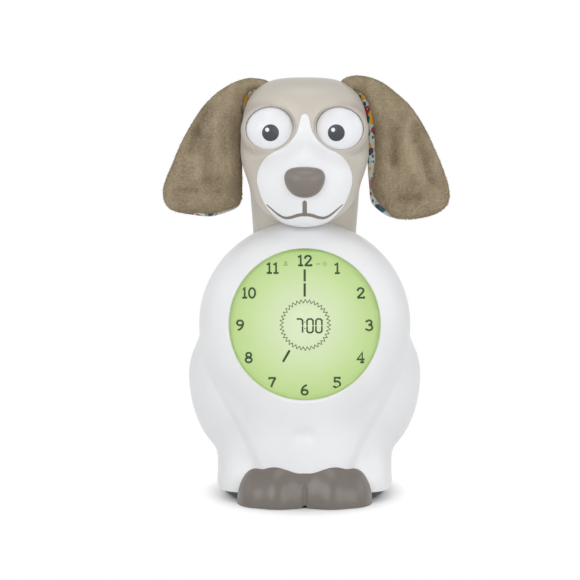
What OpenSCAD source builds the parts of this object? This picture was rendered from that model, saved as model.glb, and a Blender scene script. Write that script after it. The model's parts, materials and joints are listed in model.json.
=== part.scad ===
// Puppy sleep-trainer clock with night light: a hollow body with a round display,
// a head with eyes that turn closed, soft hinged ears and a battery bay behind.
// Millimetres, +Z up, the face looks along -Y, the rubber feet stand on z = 0.

/* [Body] */
// Radius of the round torso around the display
torso_r = 49.7; // [48.8:0.1:50.0]
// How far the torso bulges to the front of its widest section
torso_front = 33.8; // [33:0.1:34.6]
// How far the torso bulges to the rear of its widest section
torso_back = 53.6; // [53:0.1:54.2]
// Thickness of the body and head shells
wall = 2.2; // [2.0:0.1:2.4]
// Depth at which the front and rear body shells meet
body_seam = 6; // [5.5:0.1:6.5]
// Height of the white shell's lower edge above the table
shell_bottom = 4.2; // [3.6:0.1:4.4]

/* [Display] */
// Radius of the display opening
dial_r = 35; // [34.5:0.1:35.2]
// Lean of the display to the rear, in degrees
dial_tilt = 7; // [6:0.5:8]
// Distance of the window's outer face from the torso's widest section
window_out = 27; // [26.6:0.1:27.4]

/* [Head] */
// Half of the head's width
head_w = 30; // [29.6:0.1:30.4]
// Depth at which the front and rear head shells meet
head_seam = 2.5; // [2:0.1:3]
// Radius of the turning eyeballs
eye_r = 12.4; // [12.2:0.1:12.5]
// Distance of each eye from the middle
eye_x = 16.35; // [16.2:0.05:16.5]
// Radius of each dark pupil
pupil_r = 3.9; // [3.5:0.1:4.3]

/* [Ears] */
// Thickness of an ear at its middle
ear_thick = 8; // [7:0.1:8.6]

/* [Controls] */
// Radius of a push button
button_r = 3.6; // [3.2:0.1:3.9]

/* [View] */
// The sub-part to draw

/* [Hidden] */
$fn = 48;
torso_c = [0, -8.2, 82];
body_c = [0, 0, 62];
haunch_c = [29.7, 6, 56];
haunch_size = [25.5, 34, 28, 40];
skull_c = [0, 3, 163];
skull_size = [head_w, 25, 34.3, 26];
jaw_c = [0, -10, 158];
jaw_size = [27.5, 17, 28];
jaw_lean = 0.6;
muzzle_c = [0, -19, 150.5];
muzzle_size = [22, 17.5, 19.5];
head_c = [0, 4, 160];
neck_y = 10.3;
neck_size = [24.5, 17];
neck_low = 101;
eye_y = -13;
eye_z = 173.3;
lip_r = 14;
cavity_r = eye_r + 0.4;
gear_m = 0.5;
gear_step = 18 * gear_m + 0.05;
ear_root = [21.5, 4, 187.8];
ear_slot = [8, 117];
lens_in = window_out - 5;
panel_c = [0, 41.6, 87.5];
panel_tilt = 5;
button_spots = [[-13.5, 4.6], [0, 4.6], [13.5, 4.6], [-13.5, -4.9], [0, -4.9]];
cell_x = 15.1;
cell_y = 23;
cell_r = 7.25;
cell_long = 50.5;
door_x = 25;
door_z = [8.5, 72.8];
body_screw_spots = [[33, 99], [33, 22]];
head_screw_spots = [[0, 189.6], [-22.6, 154], [22.6, 154]];
base_screw_spots = [[31, -8], [26, 17]];

// Smooth joining of two distances over a band k wide.
function smin(a, b, k) = let (h = max(k - abs(a - b), 0) / k) min(a, b) - h * h * k / 4;

// Near-distance of point p to an ellipsoid of centre c and half-sizes r.
function egg(p, c, r) =
    let (q = [(p.x - c.x) / r.x, (p.y - c.y) / r.y, (p.z - c.z) / r.z], n = norm(q))
    n * (n - 1) / max(norm([q.x / r.x, q.y / r.y, q.z / r.z]), 1e-6);

// The torso: round as seen along the display's axis, flatter to the front.
function torso(p) =
    let (d = p - torso_c,
        w = d.z * sin(dial_tilt) - d.y * cos(dial_tilt),
        up = d.y * sin(dial_tilt) + d.z * cos(dial_tilt),
        reach = w > 0 ? torso_front : torso_back,
        n = w > 0 ? 2.8 : 2.6,
        a = norm([d.x, up]) / torso_r,
        b = abs(w) / reach)
    (pow(a, n) + pow(b, n) - 1) / max(n * norm([pow(a, n - 1) / torso_r, pow(b, n - 1) / reach]), 1e-4);

function haunch(p, s) = egg(p, [s * haunch_c.x, haunch_c.y, haunch_c.z],
    [haunch_size[0], haunch_size[1], p.z > haunch_c.z ? haunch_size[2] : haunch_size[3]]);

function leg(p, s) = smin(haunch(p, s), egg(p, [s * 29.5, -20, 9], [11.2, 13.5, 13.5]), 12);

// The whole body: torso, belly, rounded back, foot and two legs.
function body_field(p) =
    let (foot = smin(egg(p, [0, -2, 8], [41.3, 36.5, 60]), egg(p, [0, 8, 44], [36, 37, 60]), 8),
        belly = smin(foot, egg(p, [0, -8.5, 46], [34, 29, 50]), 10))
    smin(smin(belly, torso(p), 8), min(leg(p, 1), leg(p, -1)), 5);

function skull(p) =
    let (q = p - skull_c,
        a = pow(pow(abs(q.x) / skull_size.x, 2.3) + pow(abs(q.y) / skull_size.y, 2.3), 1 / 2.3),
        tall = q.z > 0 ? skull_size[2] : skull_size[3],
        b = abs(q.z) / tall,
        n = q.z > 0 ? 3.2 : 2)
    (pow(a, n) + pow(b, n) - 1) / max(n * norm([pow(a, n - 1) / 27, pow(b, n - 1) / tall]), 1e-4);

// The jaw leans forward towards its lower end.
function jaw(p) = egg([p.x, p.y - jaw_lean * (p.z - jaw_c.z), p.z], jaw_c, jaw_size);

function neck(p) = let (flare = 0.075 * max(p.z - 124, 0), r = neck_size + [flare, flare])
    max((norm([p.x / r.x, (p.y - neck_y) / r.y]) - 1) * r.y, p.z - 152);

function socket(p, s) = norm(p - [s * eye_x, eye_y, eye_z]) - lip_r;

// The whole head: skull, jaw, muzzle, neck and the two raised eye sockets.
function head_field(p) =
    let (face = smin(jaw(p), egg(p, muzzle_c, muzzle_size), 6))
    smin(smin(smin(skull(p), face, 7), neck(p), 5), min(socket(p, 1), socket(p, -1)), 2.5);

// Distance from c along d at which field f reaches a level, by halving lo..hi n times.
function reach(f, c, d, level, lo, hi, n) =
    n == 0 ? (lo + hi) / 2 :
    let (m = (lo + hi) / 2)
    f(c + m * d) < level ? reach(f, c, d, level, m, hi, n - 1) : reach(f, c, d, level, lo, m, n - 1);

function ray(rings, cols, i, j) =
    let (el = 90 - 180 * i / rings, az = 360 * (j + 0.5) / cols)
    [cos(el) * cos(az), cos(el) * sin(az), sin(el)];

// A closed solid whose surface is where field f equals level, seen from centre c.
module blob(f, c, level, rings, cols) {
    rows = rings - 1;
    top = rows * cols;
    around = [for (i = [1 : rows]) for (j = [0 : cols - 1]) let (d = ray(rings, cols, i, j))
        c + d * reach(f, c, d, level, 3, 130, 15)];
    poles = [for (s = [1, -1]) c + [0, 0, s] * reach(f, c, [0, 0, s], level, 3, 130, 15)];
    caps = [for (j = [0 : cols - 1]) let (k = (j + 1) % cols)
        each [[top, k, j], [top + 1, top - cols + j, top - cols + k]]];
    sides = [for (i = [0 : rows - 2]) for (j = [0 : cols - 1])
        let (a = i * cols + j, b = i * cols + (j + 1) % cols)
        each [[a, b, b + cols], [a, b + cols, a + cols]]];
    polyhedron(concat(around, poles), concat(caps, sides));
}

module body_solid(level, rings = 36, cols = 60) blob(function(p) body_field(p), body_c, level, rings, cols);

module head_solid(level, rings = 34, cols = 52) blob(function(p) head_field(p), head_c, level, rings, cols);

module body_shell() difference() {
    body_solid(0);
    body_solid(-wall, 26, 40);
    translate([-80, -80, shell_bottom - 100]) cube([160, 160, 100]);
    neck_prism(0.5, 0);
}

module head_shell() difference() {
    head_solid(0);
    head_solid(-wall, 24, 36);
    translate([-80, -80, neck_low - 200]) cube([160, 160, 200]);
}

// An upright oval column around the neck, grown by g and starting at height z.
module neck_prism(g, z) translate([0, neck_y, z]) linear_extrude(134 - z)
    scale([(neck_size.x + 0.5 + g) / 20, (neck_size.y + 0.5 + g) / 20]) circle(20);

// A flat oval ring around the neck, from height z, h tall, reaching in and out by the two steps.
module neck_ring(z, h, inner, outer) translate([0, neck_y, z]) linear_extrude(h) difference() {
    scale([(neck_size.x + outer) / 20, (neck_size.y + outer) / 20]) circle(20);
    scale([(neck_size.x + inner) / 20, (neck_size.y + inner) / 20]) circle(20);
}

// The half of space in front of (s = -1) or behind (s = 1) a depth y.
module half(y, s) translate([-100, s > 0 ? y : y - 200, -20]) cube([200, 200, 260]);

// The display's own frame: x to the side, y up the dial, z out of it.
module dial_frame() translate(torso_c) rotate([90 - dial_tilt, 0, 0]) children();

// The control panel's own frame: x to the side, y up the panel, z out of it.
module panel_frame() translate(panel_c) rotate([-90 + panel_tilt, 0, 0]) mirror([0, 1, 0]) children();

module bar(size) translate([-size.x / 2, -size.y / 2, 0]) cube(size);

// A cylinder along +Y from depth y, at x and z.
module rod_y(x, y, z, r, h) translate([x, y, z]) rotate([-90, 0, 0]) cylinder(h = h, r = r);

// A cylinder along +X.
module rod_x(x, y, z, r, h) translate([x, y, z]) rotate([0, 90, 0]) cylinder(h = h, r = r);

// A pan-head screw along +Z, its head's underside at z = 0 and its point at -long.
module screw(r, long) {
    difference() {
        cylinder(h = r * 1.2, r = r * 1.9);
        translate([0, 0, r * 0.5]) cross(r);
    }
    translate([0, 0, 0.8 - long]) cylinder(h = long - 0.8, r = r);
    translate([0, 0, -long]) cylinder(h = 0.8, r1 = r * 0.5, r2 = r);
}

module cross(r) for (a = [0, 90]) rotate(a) bar([r * 2, r * 0.42, r]);

// A round wire through a list of points.
module wire(points, r = 0.5) {
    for (i = [0 : len(points) - 2]) stretch(points[i], points[i + 1], r);
    for (i = [1 : len(points) - 2]) translate(points[i]) sphere(r * 1.05);
}

module stretch(a, b, r) {
    d = b - a;
    translate(a) rotate([0, acos(d.z / norm(d)), atan2(d.y, d.x)]) cylinder(h = norm(d), r = r);
}

// Children as drawn on the right and mirrored to the left; $side tells them which.
module at_both() for (s = [-1, 1]) let ($side = s) scale_x(s) children();

module scale_x(s) if (s < 0) mirror([1, 0, 0]) children(); else children();

/* Body shells */

module white() color([0.96, 0.96, 0.95]) children();

module body_front() white() difference() {
    union() {
        intersection() {
            body_shell();
            half(body_seam, -1);
        }
        dial_frame() for (a = [0 : 90 : 270]) rotate(a) translate([42, 0, 14.6])
            cylinder(h = a == 270 ? 9.4 : 5.4, r = 2.6);
        at_both() {
            for (s = body_screw_spots) rod_y(s.x, body_seam - 12, s.y, 3.2, 12);
            translate([33, body_seam - 12, 98]) cube([11.5, 12, 2]);
            translate([33, body_seam - 12, 21]) cube([8.6, 12, 2]);
            base_post(base_screw_spots[0], 8, 0);
            translate([26, -3, 98]) cube([18.4, 5, 2.6]);
            translate([26, -3, 104]) cube([15.8, 5, 2.2]);
        }
        intersection() {
            neck_ribs();
            half(body_seam, -1);
        }
    }
    dial_frame() cylinder(h = 60, r = dial_r);
    dial_frame() for (a = [0 : 90 : 270]) rotate(a) translate([42, 0, 14]) cylinder(h = 5.2, r = 1.12);
    at_both() {
        for (s = body_screw_spots) rod_y(s.x, body_seam - 10, s.y, 1.32, 11);
        translate([base_screw_spots[0].x, base_screw_spots[0].y, 4]) cylinder(h = 8, r = 1.32);
    }
    for (x = [-16, 16]) rod_y(x, -45, 10, 2.55, 30);
    translate([0, -45.3, 34]) sphere(8);
}

module neck_ribs() {
    neck_ring(98, 2.6, -1.5, 5);
    neck_ring(104, 2.2, 0.8, 5);
}

// A post for a base screw, tied to the side wall by a web of the given length.
module base_post(spot, web, turn) translate([spot.x, spot.y, 4.4]) {
    cylinder(h = 9, r = 3);
    rotate(turn) translate([0, -1, 0]) cube([web, 2, 9]);
}

module body_rear() white() difference() {
    union() {
        intersection() {
            body_shell();
            half(body_seam + 0.1, 1);
        }
        intersection() {
            at_both() for (s = body_screw_spots) rod_y(s.x, body_seam + 0.1, s.y, 4.2, 40);
            body_solid(-0.8, 26, 40);
        }
        at_both() {
            base_post(base_screw_spots[1], 7.5, 40);
            translate([26, 8, 98]) cube([17.2, 5, 2.6]);
            translate([26, 8, 104]) cube([13.8, 5, 2.2]);
        }
        intersection() {
            neck_ribs();
            half(body_seam + 0.1, 1);
        }
    }
    at_both() {
        for (s = body_screw_spots) {
            rod_y(s.x, body_seam, s.y, 1.4, 4);
            rod_y(s.x, body_seam + 3, s.y, 2.9, 40);
        }
        translate([base_screw_spots[1].x, base_screw_spots[1].y, 4]) cylinder(h = 8, r = 1.32);
    }
    door_prism(0.2, 20);
    panel_frame() translate([0, 0, -2.2]) rounded_bar(45.4, 23.4, 40, 3);
    translate([33, 24, 50]) bar_y(9.2, 4.2, 30);
}

module rounded_bar(w, h, t, r) linear_extrude(t) rounded(w, h, r);

// A rounded rectangle with corners of radius r, made of true arcs.
module rounded(w, h, r) {
    square([w - 2 * r, h], center = true);
    square([w, h - 2 * r], center = true);
    for (x = [-1, 1], y = [-1, 1]) translate([x * (w / 2 - r), y * (h / 2 - r)]) circle(r);
}

module bar_y(w, h, long) rotate([-90, 0, 0]) rounded_bar(w, h, long, h / 2 - 0.1);

module body_screws() color([0.7, 0.7, 0.72]) at_both() for (s = body_screw_spots)
    translate([s.x, body_seam + 3, s.y]) rotate([-90, 0, 0]) screw(1.3, 11);

module base_plate() color([0.25, 0.25, 0.26]) difference() {
    translate([0, -2, 1.2]) linear_extrude(3) scale([37.8 / 33, 1]) circle(33);
    for (r = [4, 8, 12]) for (a = [0 : 360 / (r * 1.5) : 359]) rotate_about([0, -4], a)
        translate([r, 0, 0]) cylinder(h = 5, r = 1);
    translate([0, -4, 0]) cylinder(h = 5, r = 1);
    at_both() for (s = base_screw_spots) {
        translate([s.x, s.y, 0]) cylinder(h = 5, r = 1.4);
        translate([s.x, s.y, 0]) cylinder(h = 2.8, r = 2.8);
    }
}

module rotate_about(c, a) translate([c.x, c.y, 0]) rotate(a) children();

module base_screws() color([0.7, 0.7, 0.72]) at_both() for (s = base_screw_spots)
    translate([s.x, s.y, 2.8]) rotate([180, 0, 0]) screw(1.3, 9);

module base_feet() color([0.2, 0.2, 0.2]) at_both() for (s = [[22, -19], [18, 21]]) translate([s.x, s.y, 0]) {
    translate([0, 0, 0.4]) cylinder(h = 0.8, r = 4.5);
    cylinder(h = 0.4, r1 = 4.1, r2 = 4.5);
}

// The two front paws in one shoe that fits against the shell.
module paws() color([0.47, 0.41, 0.37]) {
    difference() {
        intersection() {
            paw_solid();
            translate([-50, -60, 0.3]) cube([100, 40, 40]);
        }
        body_solid(0.05, 36, 60);
        rod_y(0, -60, 0, 1.3, 24);
    }
    for (x = [-16, 16]) rod_y(x, -37, 10, 2.5, 6);
}

function paw_field(p) =
    let (q = [abs(p.x), p.y, p.z],
        toe = egg(q, [12.9, -28.6, 1.5], [13, 16.8, 18.8]),
        side = egg(q, [22.8, -27, 1], [8.9, 14.5, 16]),
        bridge = egg(q, [0, -27, 1], [23, 14.5, 25.2]))
    smin(smin(toe, side, 2.5), bridge, 1.6);

module paw_solid() blob(function(p) paw_field(p), [0, -27, 2], 0, 24, 44);

/* Display stack, outermost first */

module dial_lens() color([0.9, 0.95, 0.9, 0.4]) dial_frame() translate([0, 0, lens_in]) {
    translate([0, 0, 3.4]) cylinder(h = 1.6, r = dial_r - 0.2);
    tube(33.2, dial_r - 0.2, 3.4);
    tube(33.2, 38, 1.4);
}

module tube(inner, outer, h) difference() {
    cylinder(h = h, r = outer);
    translate([0, 0, -1]) cylinder(h = h + 2, r = inner);
}

module lcd_panel() color([0.72, 0.85, 0.54]) dial_frame() translate([0, 0, lens_in + 1.3])
    cylinder(h = 2, r = 32.9);

module light_guide() color([0.85, 0.92, 0.75]) dial_frame() translate([0, 0, lens_in - 1.8]) difference() {
    cylinder(h = 3, r = 32.9);
    translate([-40, -60 - 28.3, -1]) cube([80, 60, 5]);
    for (a = [22.5 : 45 : 359]) rotate(a) translate([20, 0, -1]) cylinder(h = 1.8, r = 2.6);
}

module display_frame() color([0.9, 0.9, 0.88]) dial_frame() difference() {
    union() {
        translate([0, 0, 12]) cylinder(h = lens_in - 12.1, r = 35.2);
        translate([0, 0, lens_in - 2]) cylinder(h = 1.9, r = 38);
        for (a = [0 : 90 : 270]) rotate(a) translate([0, 0, 12]) {
            translate([42, 0, 0]) cylinder(h = 2.5, r = 2.4);
            translate([34, -2.4, 0]) cube([8, 4.8, 2.5]);
        }
        for (x = [-22, 22], y = [-22, 22]) translate([x, y, 10.6]) cylinder(h = 1.4, r = 2.4);
    }
    translate([0, 0, 13.3]) cylinder(h = 40, r = 29.5);
    translate([0, 0, lens_in - 1.9]) cylinder(h = 40, r = 33.1);
    translate([-11.3, -30.8, 0]) cube([22.6, 2.4, 60]);
    for (a = [0 : 90 : 270]) rotate(a) translate([42, 0, 10]) cylinder(h = 6, r = 1.2);
    for (x = [-22, 22], y = [-22, 22]) translate([x, y, 10]) cylinder(h = 8, r = 1.12);
    translate([0, 20, 10]) cylinder(h = 6, r = 3);
}

module display_screws() color([0.7, 0.7, 0.72]) dial_frame() {
    for (a = [0 : 90 : 270]) rotate(a) translate([42, 0, 12]) rotate([180, 0, 0]) screw(1.1, 7);
    for (x = [-22, 22], y = [-22, 22]) translate([x, y, 9]) rotate([180, 0, 0]) screw(1.1, 7);
}

module backlight_board() color([0.1, 0.4, 0.25]) dial_frame() translate([0, 0, 13.4]) difference() {
    cylinder(h = 1.6, r = 29.2);
    translate([-13, -42, -1]) cube([26, 16, 4]);
}

module backlight_leds() color([1, 0.95, 0.7]) dial_frame() for (a = [22.5 : 45 : 359]) rotate(a)
    translate([20, 0, 15]) {
        bar([3.5, 2.8, 1.2]);
        translate([0, 0, 1.2]) cylinder(h = 0.5, r = 1.2);
    }

module lcd_connector() color([0.9, 0.55, 0.6]) dial_frame() translate([-11, -30.6, 10.6])
    cube([22, 2, lens_in + 1.3 - 10.6]);

/* Electronics */

module main_board() color([0.1, 0.4, 0.25]) dial_frame() translate([0, -3, 9]) difference() {
    rounded_bar(62, 60, 1.6, 3);
    for (x = [-22, 22], y = [-19, 25]) translate([x, y, -1]) cylinder(h = 4, r = 1.2);
}

module board_components() color([0.15, 0.15, 0.16]) dial_frame() mirror([0, 0, 1]) translate([0, 0, -9]) {
    translate([-20, 0, 0]) bar([12, 12, 1.8]);
    for (k = [-5 : 5]) translate([-20 + k, 0, 0]) bar([0.4, 14, 0.5]);
    translate([21, 2, 0]) bar([9, 7, 1.8]);
    translate([18, -12, 0]) cylinder(h = 7, r = 3.2);
    translate([26, -12, 0]) cylinder(h = 7, r = 3.2);
    translate([-20, -14, 0]) cylinder(h = 6, r = 4.6);
    translate([-27, 14, 0]) bar([4, 8, 3]);
    for (k = [0 : 4]) translate([-16 + 4 * k, -28, 0]) bar([2, 1.2, 0.8]);
    translate([13, 12, 0]) bar([7, 6, 5]);
    translate([-8, -14, 0]) bar([7, 6, 5]);
    translate([8, -22, 0]) bar([7, 6, 5]);
    bar([13, 5, 5]);
}

module speaker_frame() color([0.3, 0.3, 0.32]) translate([0, -4, 4.25]) {
    tube(16.2, 18, 1.8);
    difference() {
        translate([0, 0, 1.8]) cylinder(h = 5, r1 = 17.6, r2 = 10);
        translate([0, 0, 1.7]) cylinder(h = 4.4, r1 = 16.6, r2 = 9.9);
        for (a = [45 : 90 : 359]) rotate(a) translate([12.6, 0, 3]) cylinder(h = 6, r = 2.2);
    }
    translate([0, 0, 6.8]) cylinder(h = 4.5, r = 9.6);
    translate([8, -14, 1.8]) bar([6, 2.4, 2]);
}

module speaker_cone() color([0.12, 0.12, 0.12]) translate([0, -4, 4.35]) {
    difference() {
        cylinder(h = 4.4, r1 = 16, r2 = 6);
        translate([0, 0, -0.6]) cylinder(h = 4.4, r1 = 16, r2 = 6);
        translate([0, 0, -1]) cylinder(h = 8, r = 5.6);
    }
    difference() {
        translate([0, 0, 3.1]) cylinder(h = 1, r = 6.4);
        translate([0, 0, 2.6]) cylinder(h = 1, r = 5.4);
    }
}

module speaker_wires() color([0.75, 0.15, 0.12]) for (x = [6.8, 9.2])
    wire([[x, -18, 8.05], [x, -18, 30], [x, -8, 57], dial_point(x, -22, -4), dial_point(x, -22, 4)]);

// A point given in the display's own frame.
function dial_point(x, y, w) = torso_c + [x, y * sin(dial_tilt) - w * cos(dial_tilt),
    y * cos(dial_tilt) + w * sin(dial_tilt)];

module power_socket() color([0.6, 0.6, 0.62]) translate([33, 31, 50]) {
    difference() {
        bar_y(8.6, 3.6, 7);
        translate([0, 1.4, 0]) bar_y(7.4, 2.4, 8);
    }
    translate([-2.9, 1.2, -0.35]) cube([5.8, 4.6, 0.7]);
    translate([-6, -1.6, -3]) cube([12, 1.6, 6]);
}

/* Batteries */

module battery_box() color([0.3, 0.3, 0.32]) difference() {
    union() {
        translate([-24.1, 14, 16.2]) cube([48.2, 13.6, 58]);
        translate([-5, 18, 8.6]) cube([10, 14.8, 8]);
    }
    translate([-22.8, 15.4, 17.4]) cube([45.6, 30, 55.6]);
    rod_y(0, 17, 12.5, 1.55, 20);
    for (x = [-9.2, -6.8]) rod_y(x, 13, 70, 0.6, 3);
}

module battery_cells() color([0.15, 0.3, 0.55]) for (i = [-1 : 1])
    translate([i * cell_x, cell_y, 45.2]) rotate([i == 0 ? 180 : 0, 0, 0]) translate([0, 0, -24]) {
        cylinder(h = cell_long - 1.6, r = cell_r);
        translate([0, 0, cell_long - 1.6]) cylinder(h = 1.6, r = 2.7);
    }

// One conical coil spring of tilted half turns.
module coil(turns, r, rise) {
    tilt = atan(rise / 2 / r);
    for (i = [0 : 2 * turns - 1]) translate([0, 0, (i + 0.5) * rise])
        rotate([0, i % 2 == 0 ? tilt : -tilt, 0]) rotate(i % 2 * 180)
        rotate_extrude(angle = 180) translate([r, 0]) circle(0.35);
    for (i = [0 : 2 * turns]) translate([i % 2 == 0 ? r : -r, 0, i * rise]) sphere(0.37);
}

module battery_springs() color([0.75, 0.72, 0.68]) for (i = [-1 : 1])
    translate([i * cell_x, cell_y, i == 0 ? 71.95 : 18.45]) rotate([i == 0 ? 180 : 0, 0, 0])
        coil(2, 3.2, 0.56);

module battery_contacts() color([0.75, 0.72, 0.68]) {
    for (i = [-1 : 1]) translate([i * cell_x, cell_y, 17.5]) bar([9, 9, 0.5]);
    for (i = [-1 : 1]) translate([i * cell_x, cell_y, 72.4]) bar([9, 9, 0.5]);
    translate([-13, 21, 72.4]) cube([10, 3, 0.5]);
    translate([3, 21, 17.5]) cube([10, 3, 0.5]);
    for (x = [-9.2, -6.8]) rod_y(x, 14.02, 70, 0.5, 1.6);
}

module battery_wires() color([0.75, 0.15, 0.12]) for (x = [-9.2, -6.8])
    wire([[x, 14, 70], [x, 5.5, 70], dial_point(x, -14, -3), dial_point(x, -14, 4)]);

module door_prism(g, y) translate([0, y, (door_z[0] + door_z[1]) / 2]) rotate([-90, 0, 0])
    rounded_bar(2 * (door_x + g), door_z[1] - door_z[0] + 2 * g, 40, 5);

module battery_door() white() difference() {
    union() {
        intersection() {
            body_shell();
            door_prism(-0.2, 20);
        }
        rod_y(0, 33.5, 12.5, 4, 5.2);
    }
    rod_y(0, 29, 12.5, 1.8, 12);
    rod_y(0, 35.8, 12.5, 3.4, 12);
    for (k = [0 : 3]) translate([-8, 50, 66 - k * 2.4]) rotate([-90, 0, 0]) translate([0, 0, -6.2])
        rounded_bar(16 - k * 3, 1, 10, 0.45);
}

module battery_door_screw() color([0.7, 0.7, 0.72]) translate([0, 35.85, 12.5]) rotate([-90, 0, 0])
    screw(1.5, 12);

/* Rear control panel */

module control_panel() color([0.3, 0.3, 0.32]) difference() {
    union() {
        intersection() {
            panel_frame() translate([0, 0, -2]) rounded_bar(44.8, 22.8, 40, 2.7);
            body_solid(-0.2);
        }
        panel_frame() for (x = [-19.4, 19.4]) translate([x, 0, -6.6]) cylinder(h = 5, r = 1.9);
    }
    panel_frame() rounded_bar(42, 20, 40, 2);
    panel_frame() for (s = button_spots) translate([s.x, s.y, -3]) cylinder(h = 5, r = button_r + 0.3);
    panel_frame() translate([13.5, -4.9, -3]) rounded_bar(10.4, 2.8, 5, 1.3);
    panel_frame() for (x = [-19.4, 19.4]) translate([x, 0, -7]) cylinder(h = 4, r = 0.9);
}

module button_board() color([0.1, 0.4, 0.25]) panel_frame() {
    translate([0, 0, -8.2]) rounded_bar(43, 19, 1.6, 2);
    translate([0, -4, -11]) bar([13, 4, 2.8]);
}

module tact_switches() color([0.75, 0.75, 0.76]) panel_frame() {
    for (s = button_spots) translate([s.x, s.y, -6.6]) {
        bar([6, 6, 1.8]);
        translate([0, 0, 1.8]) cylinder(h = 0.5, r = 1.6);
    }
    translate([13.5, -4.9, -6.6]) bar([9, 4, 1.6]);
}

module button_cap(s) panel_frame() translate([s.x, s.y, 0]) {
    translate([0, 0, -3.2]) cylinder(h = 0.9, r = button_r + 0.9);
    translate([0, 0, -2.4]) cylinder(h = 3.5, r = button_r);
    difference() {
        translate([0, 0, 1.1]) cylinder(h = 0.5, r1 = button_r, r2 = button_r - 0.5);
        translate([0, 0, 9.9]) sphere(8.6);
    }
    translate([0, 0, -3.4]) cylinder(h = 0.3, r = 1.5);
}

module button_clock() color([0.93, 0.93, 0.92]) button_cap(button_spots[0]);
module button_alarm() color([0.93, 0.93, 0.92]) button_cap(button_spots[1]);
module button_light() color([0.93, 0.93, 0.92]) button_cap(button_spots[2]);
module button_plus() color([0.93, 0.93, 0.92]) button_cap(button_spots[3]);
module button_minus() color([0.93, 0.93, 0.92]) button_cap(button_spots[4]);

module lock_slider() color([0.93, 0.93, 0.92]) panel_frame() translate([11.5, -4.9, 0]) {
    difference() {
        translate([0, 0, 0.3]) rounded_bar(5, 4, 1.4, 0.8);
        for (x = [-1.2, 0, 1.2]) translate([x, 0, 1.4]) bar([0.4, 6, 1]);
    }
    translate([0, 0, -2.6]) rounded_bar(4.4, 2.2, 3, 1);
    translate([0, 0, -3.3]) rounded_bar(7, 4, 0.8, 1);
}

module panel_ribbon() color([0.8, 0.8, 0.8]) ribbon([panel_point(-4, -11), panel_point(-4, -17),
    [0, 4, 78], dial_point(0, 0, -2), dial_point(0, 0, 4)], 10, 0.4);

// A flat ribbon w wide and t thick through points of the middle plane.
module ribbon(points, w, t) translate([-w / 2, 0, 0]) rotate([90, 0, 90]) linear_extrude(w)
    band([for (p = points) [p.y, p.z]], t);

// A strip w wide along a list of 2-D points, with mitred corners and square ends.
module band(points, w) {
    n = len(points) - 1;
    normals = [for (i = [0 : n - 1]) let (d = points[i + 1] - points[i]) [-d.y, d.x] / norm(d)];
    sides = [for (i = [0 : n]) let (a = normals[max(i - 1, 0)], b = normals[min(i, n - 1)])
        (a + b) / (1 + a * b) * w / 2];
    polygon(concat([for (i = [0 : n]) points[i] + sides[i]], [for (i = [n : -1 : 0]) points[i] - sides[i]]));
}

// A point of the panel's middle plane given in the panel's own frame.
function panel_point(y, z) = panel_c + [0, z * cos(panel_tilt) - y * sin(panel_tilt),
    y * cos(panel_tilt) + z * sin(panel_tilt)];

/* Head */

module greige() color([0.72, 0.67, 0.61]) children();

// Outline of the white blaze and muzzle as seen from the front, grown by g.
module blaze_outline(g) {
    half_outline = [[0, 181.8], [1.5, 180.9], [2.3, 178.5], [2.9, 175.5], [4.2, 172.2], [6.6, 169.2],
        [10, 166.4], [14, 164.3], [17.6, 161.8], [20.3, 158.4], [21.8, 154.6], [22.1, 150.6],
        [21, 146.6], [19, 142.9], [17, 139.3], [15, 133], [14, 126], [0, 126]];
    offset(delta = g) union() {
        polygon(half_outline);
        mirror([1, 0]) polygon(half_outline);
    }
}

// A front-view outline pushed through the head along Y, from y = -50 to y = deep.
module through(deep) translate([0, deep, 0]) rotate([90, 0, 0]) linear_extrude(50 + deep) children();

// The curved lip and the short upright line above it, grown by g.
module mouth_outline(g) {
    lip = [[0, 136.2], [2.6, 135.9], [5, 134.9], [7.4, 134.3], [10, 134.8], [12.8, 136.4], [15.4, 138.4]];
    band(concat([for (i = [len(lip) - 1 : -1 : 1]) [-lip[i].x, lip[i].y]], lip), 1.5 + 2 * g);
    translate([-0.9 - g, 136.2]) square([1.8 + 2 * g, 9.3]);
}

// Egg-shaped opening in front of one eye, its outer end tipped down.
module eye_opening() translate([eye_x, 175]) rotate(-12) scale([11.2 / 10, 9.9 / 10]) circle(10);

// The slot in which an ear's root turns about its pin.
module ear_sector() translate([ear_root.x, 8.25, ear_root.z]) rotate([90, 0, 0]) linear_extrude(8.5) {
    polygon(concat([[0, 0]], [for (a = [ear_slot[0] : 10.9 : ear_slot[1] + 1]) 18 * [cos(a), sin(a)]]));
    circle(5.4);
}

// The room the torso's crest needs in front of the neck.
module under_chin() intersection() {
    body_solid(0.45, 24, 36);
    half(-6.9, -1);
}

module head_front() greige() difference() {
    union() {
        intersection() {
            difference() {
                head_shell();
                at_both() translate([eye_x, eye_y, eye_z]) sphere(cavity_r);
            }
            half(head_seam, -1);
        }
        head_boss(head_seam - 9, 9);
        at_both() ear_wall(-2, 1.7);
        intersection() {
            neck_ring(neck_low, 2.4, -1, 2.3);
            half(head_seam, -1);
        }
    }
    under_chin();
    through(-15) blaze_outline(0.1);
    at_both() through(eye_y) eye_opening();
    at_both() ear_sector();
    at_both() rod_y(ear_root.x, -3, ear_root.z, 1.02, 6);
    for (s = head_screw_spots) rod_y(s.x, head_seam - 8, s.y, 1.12, 9);
}

// Bosses of the head screws, from depth y and long in Y, tied to the shell by webs.
module head_boss(y, long) {
    for (s = head_screw_spots) rod_y(s.x, y, s.y, 2.6, long);
    translate([-1, y, 190]) cube([2, long, 5.6]);
    at_both() translate([22.6, y, 153]) cube([5.6, long, 2]);
}

// A plate beside an ear's slot that carries the end of its pin.
module ear_wall(y, t) intersection() {
    rod_y(ear_root.x - 0.5, y, ear_root.z - 0.5, 7, t);
    head_solid(-1, 20, 32);
}

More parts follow.
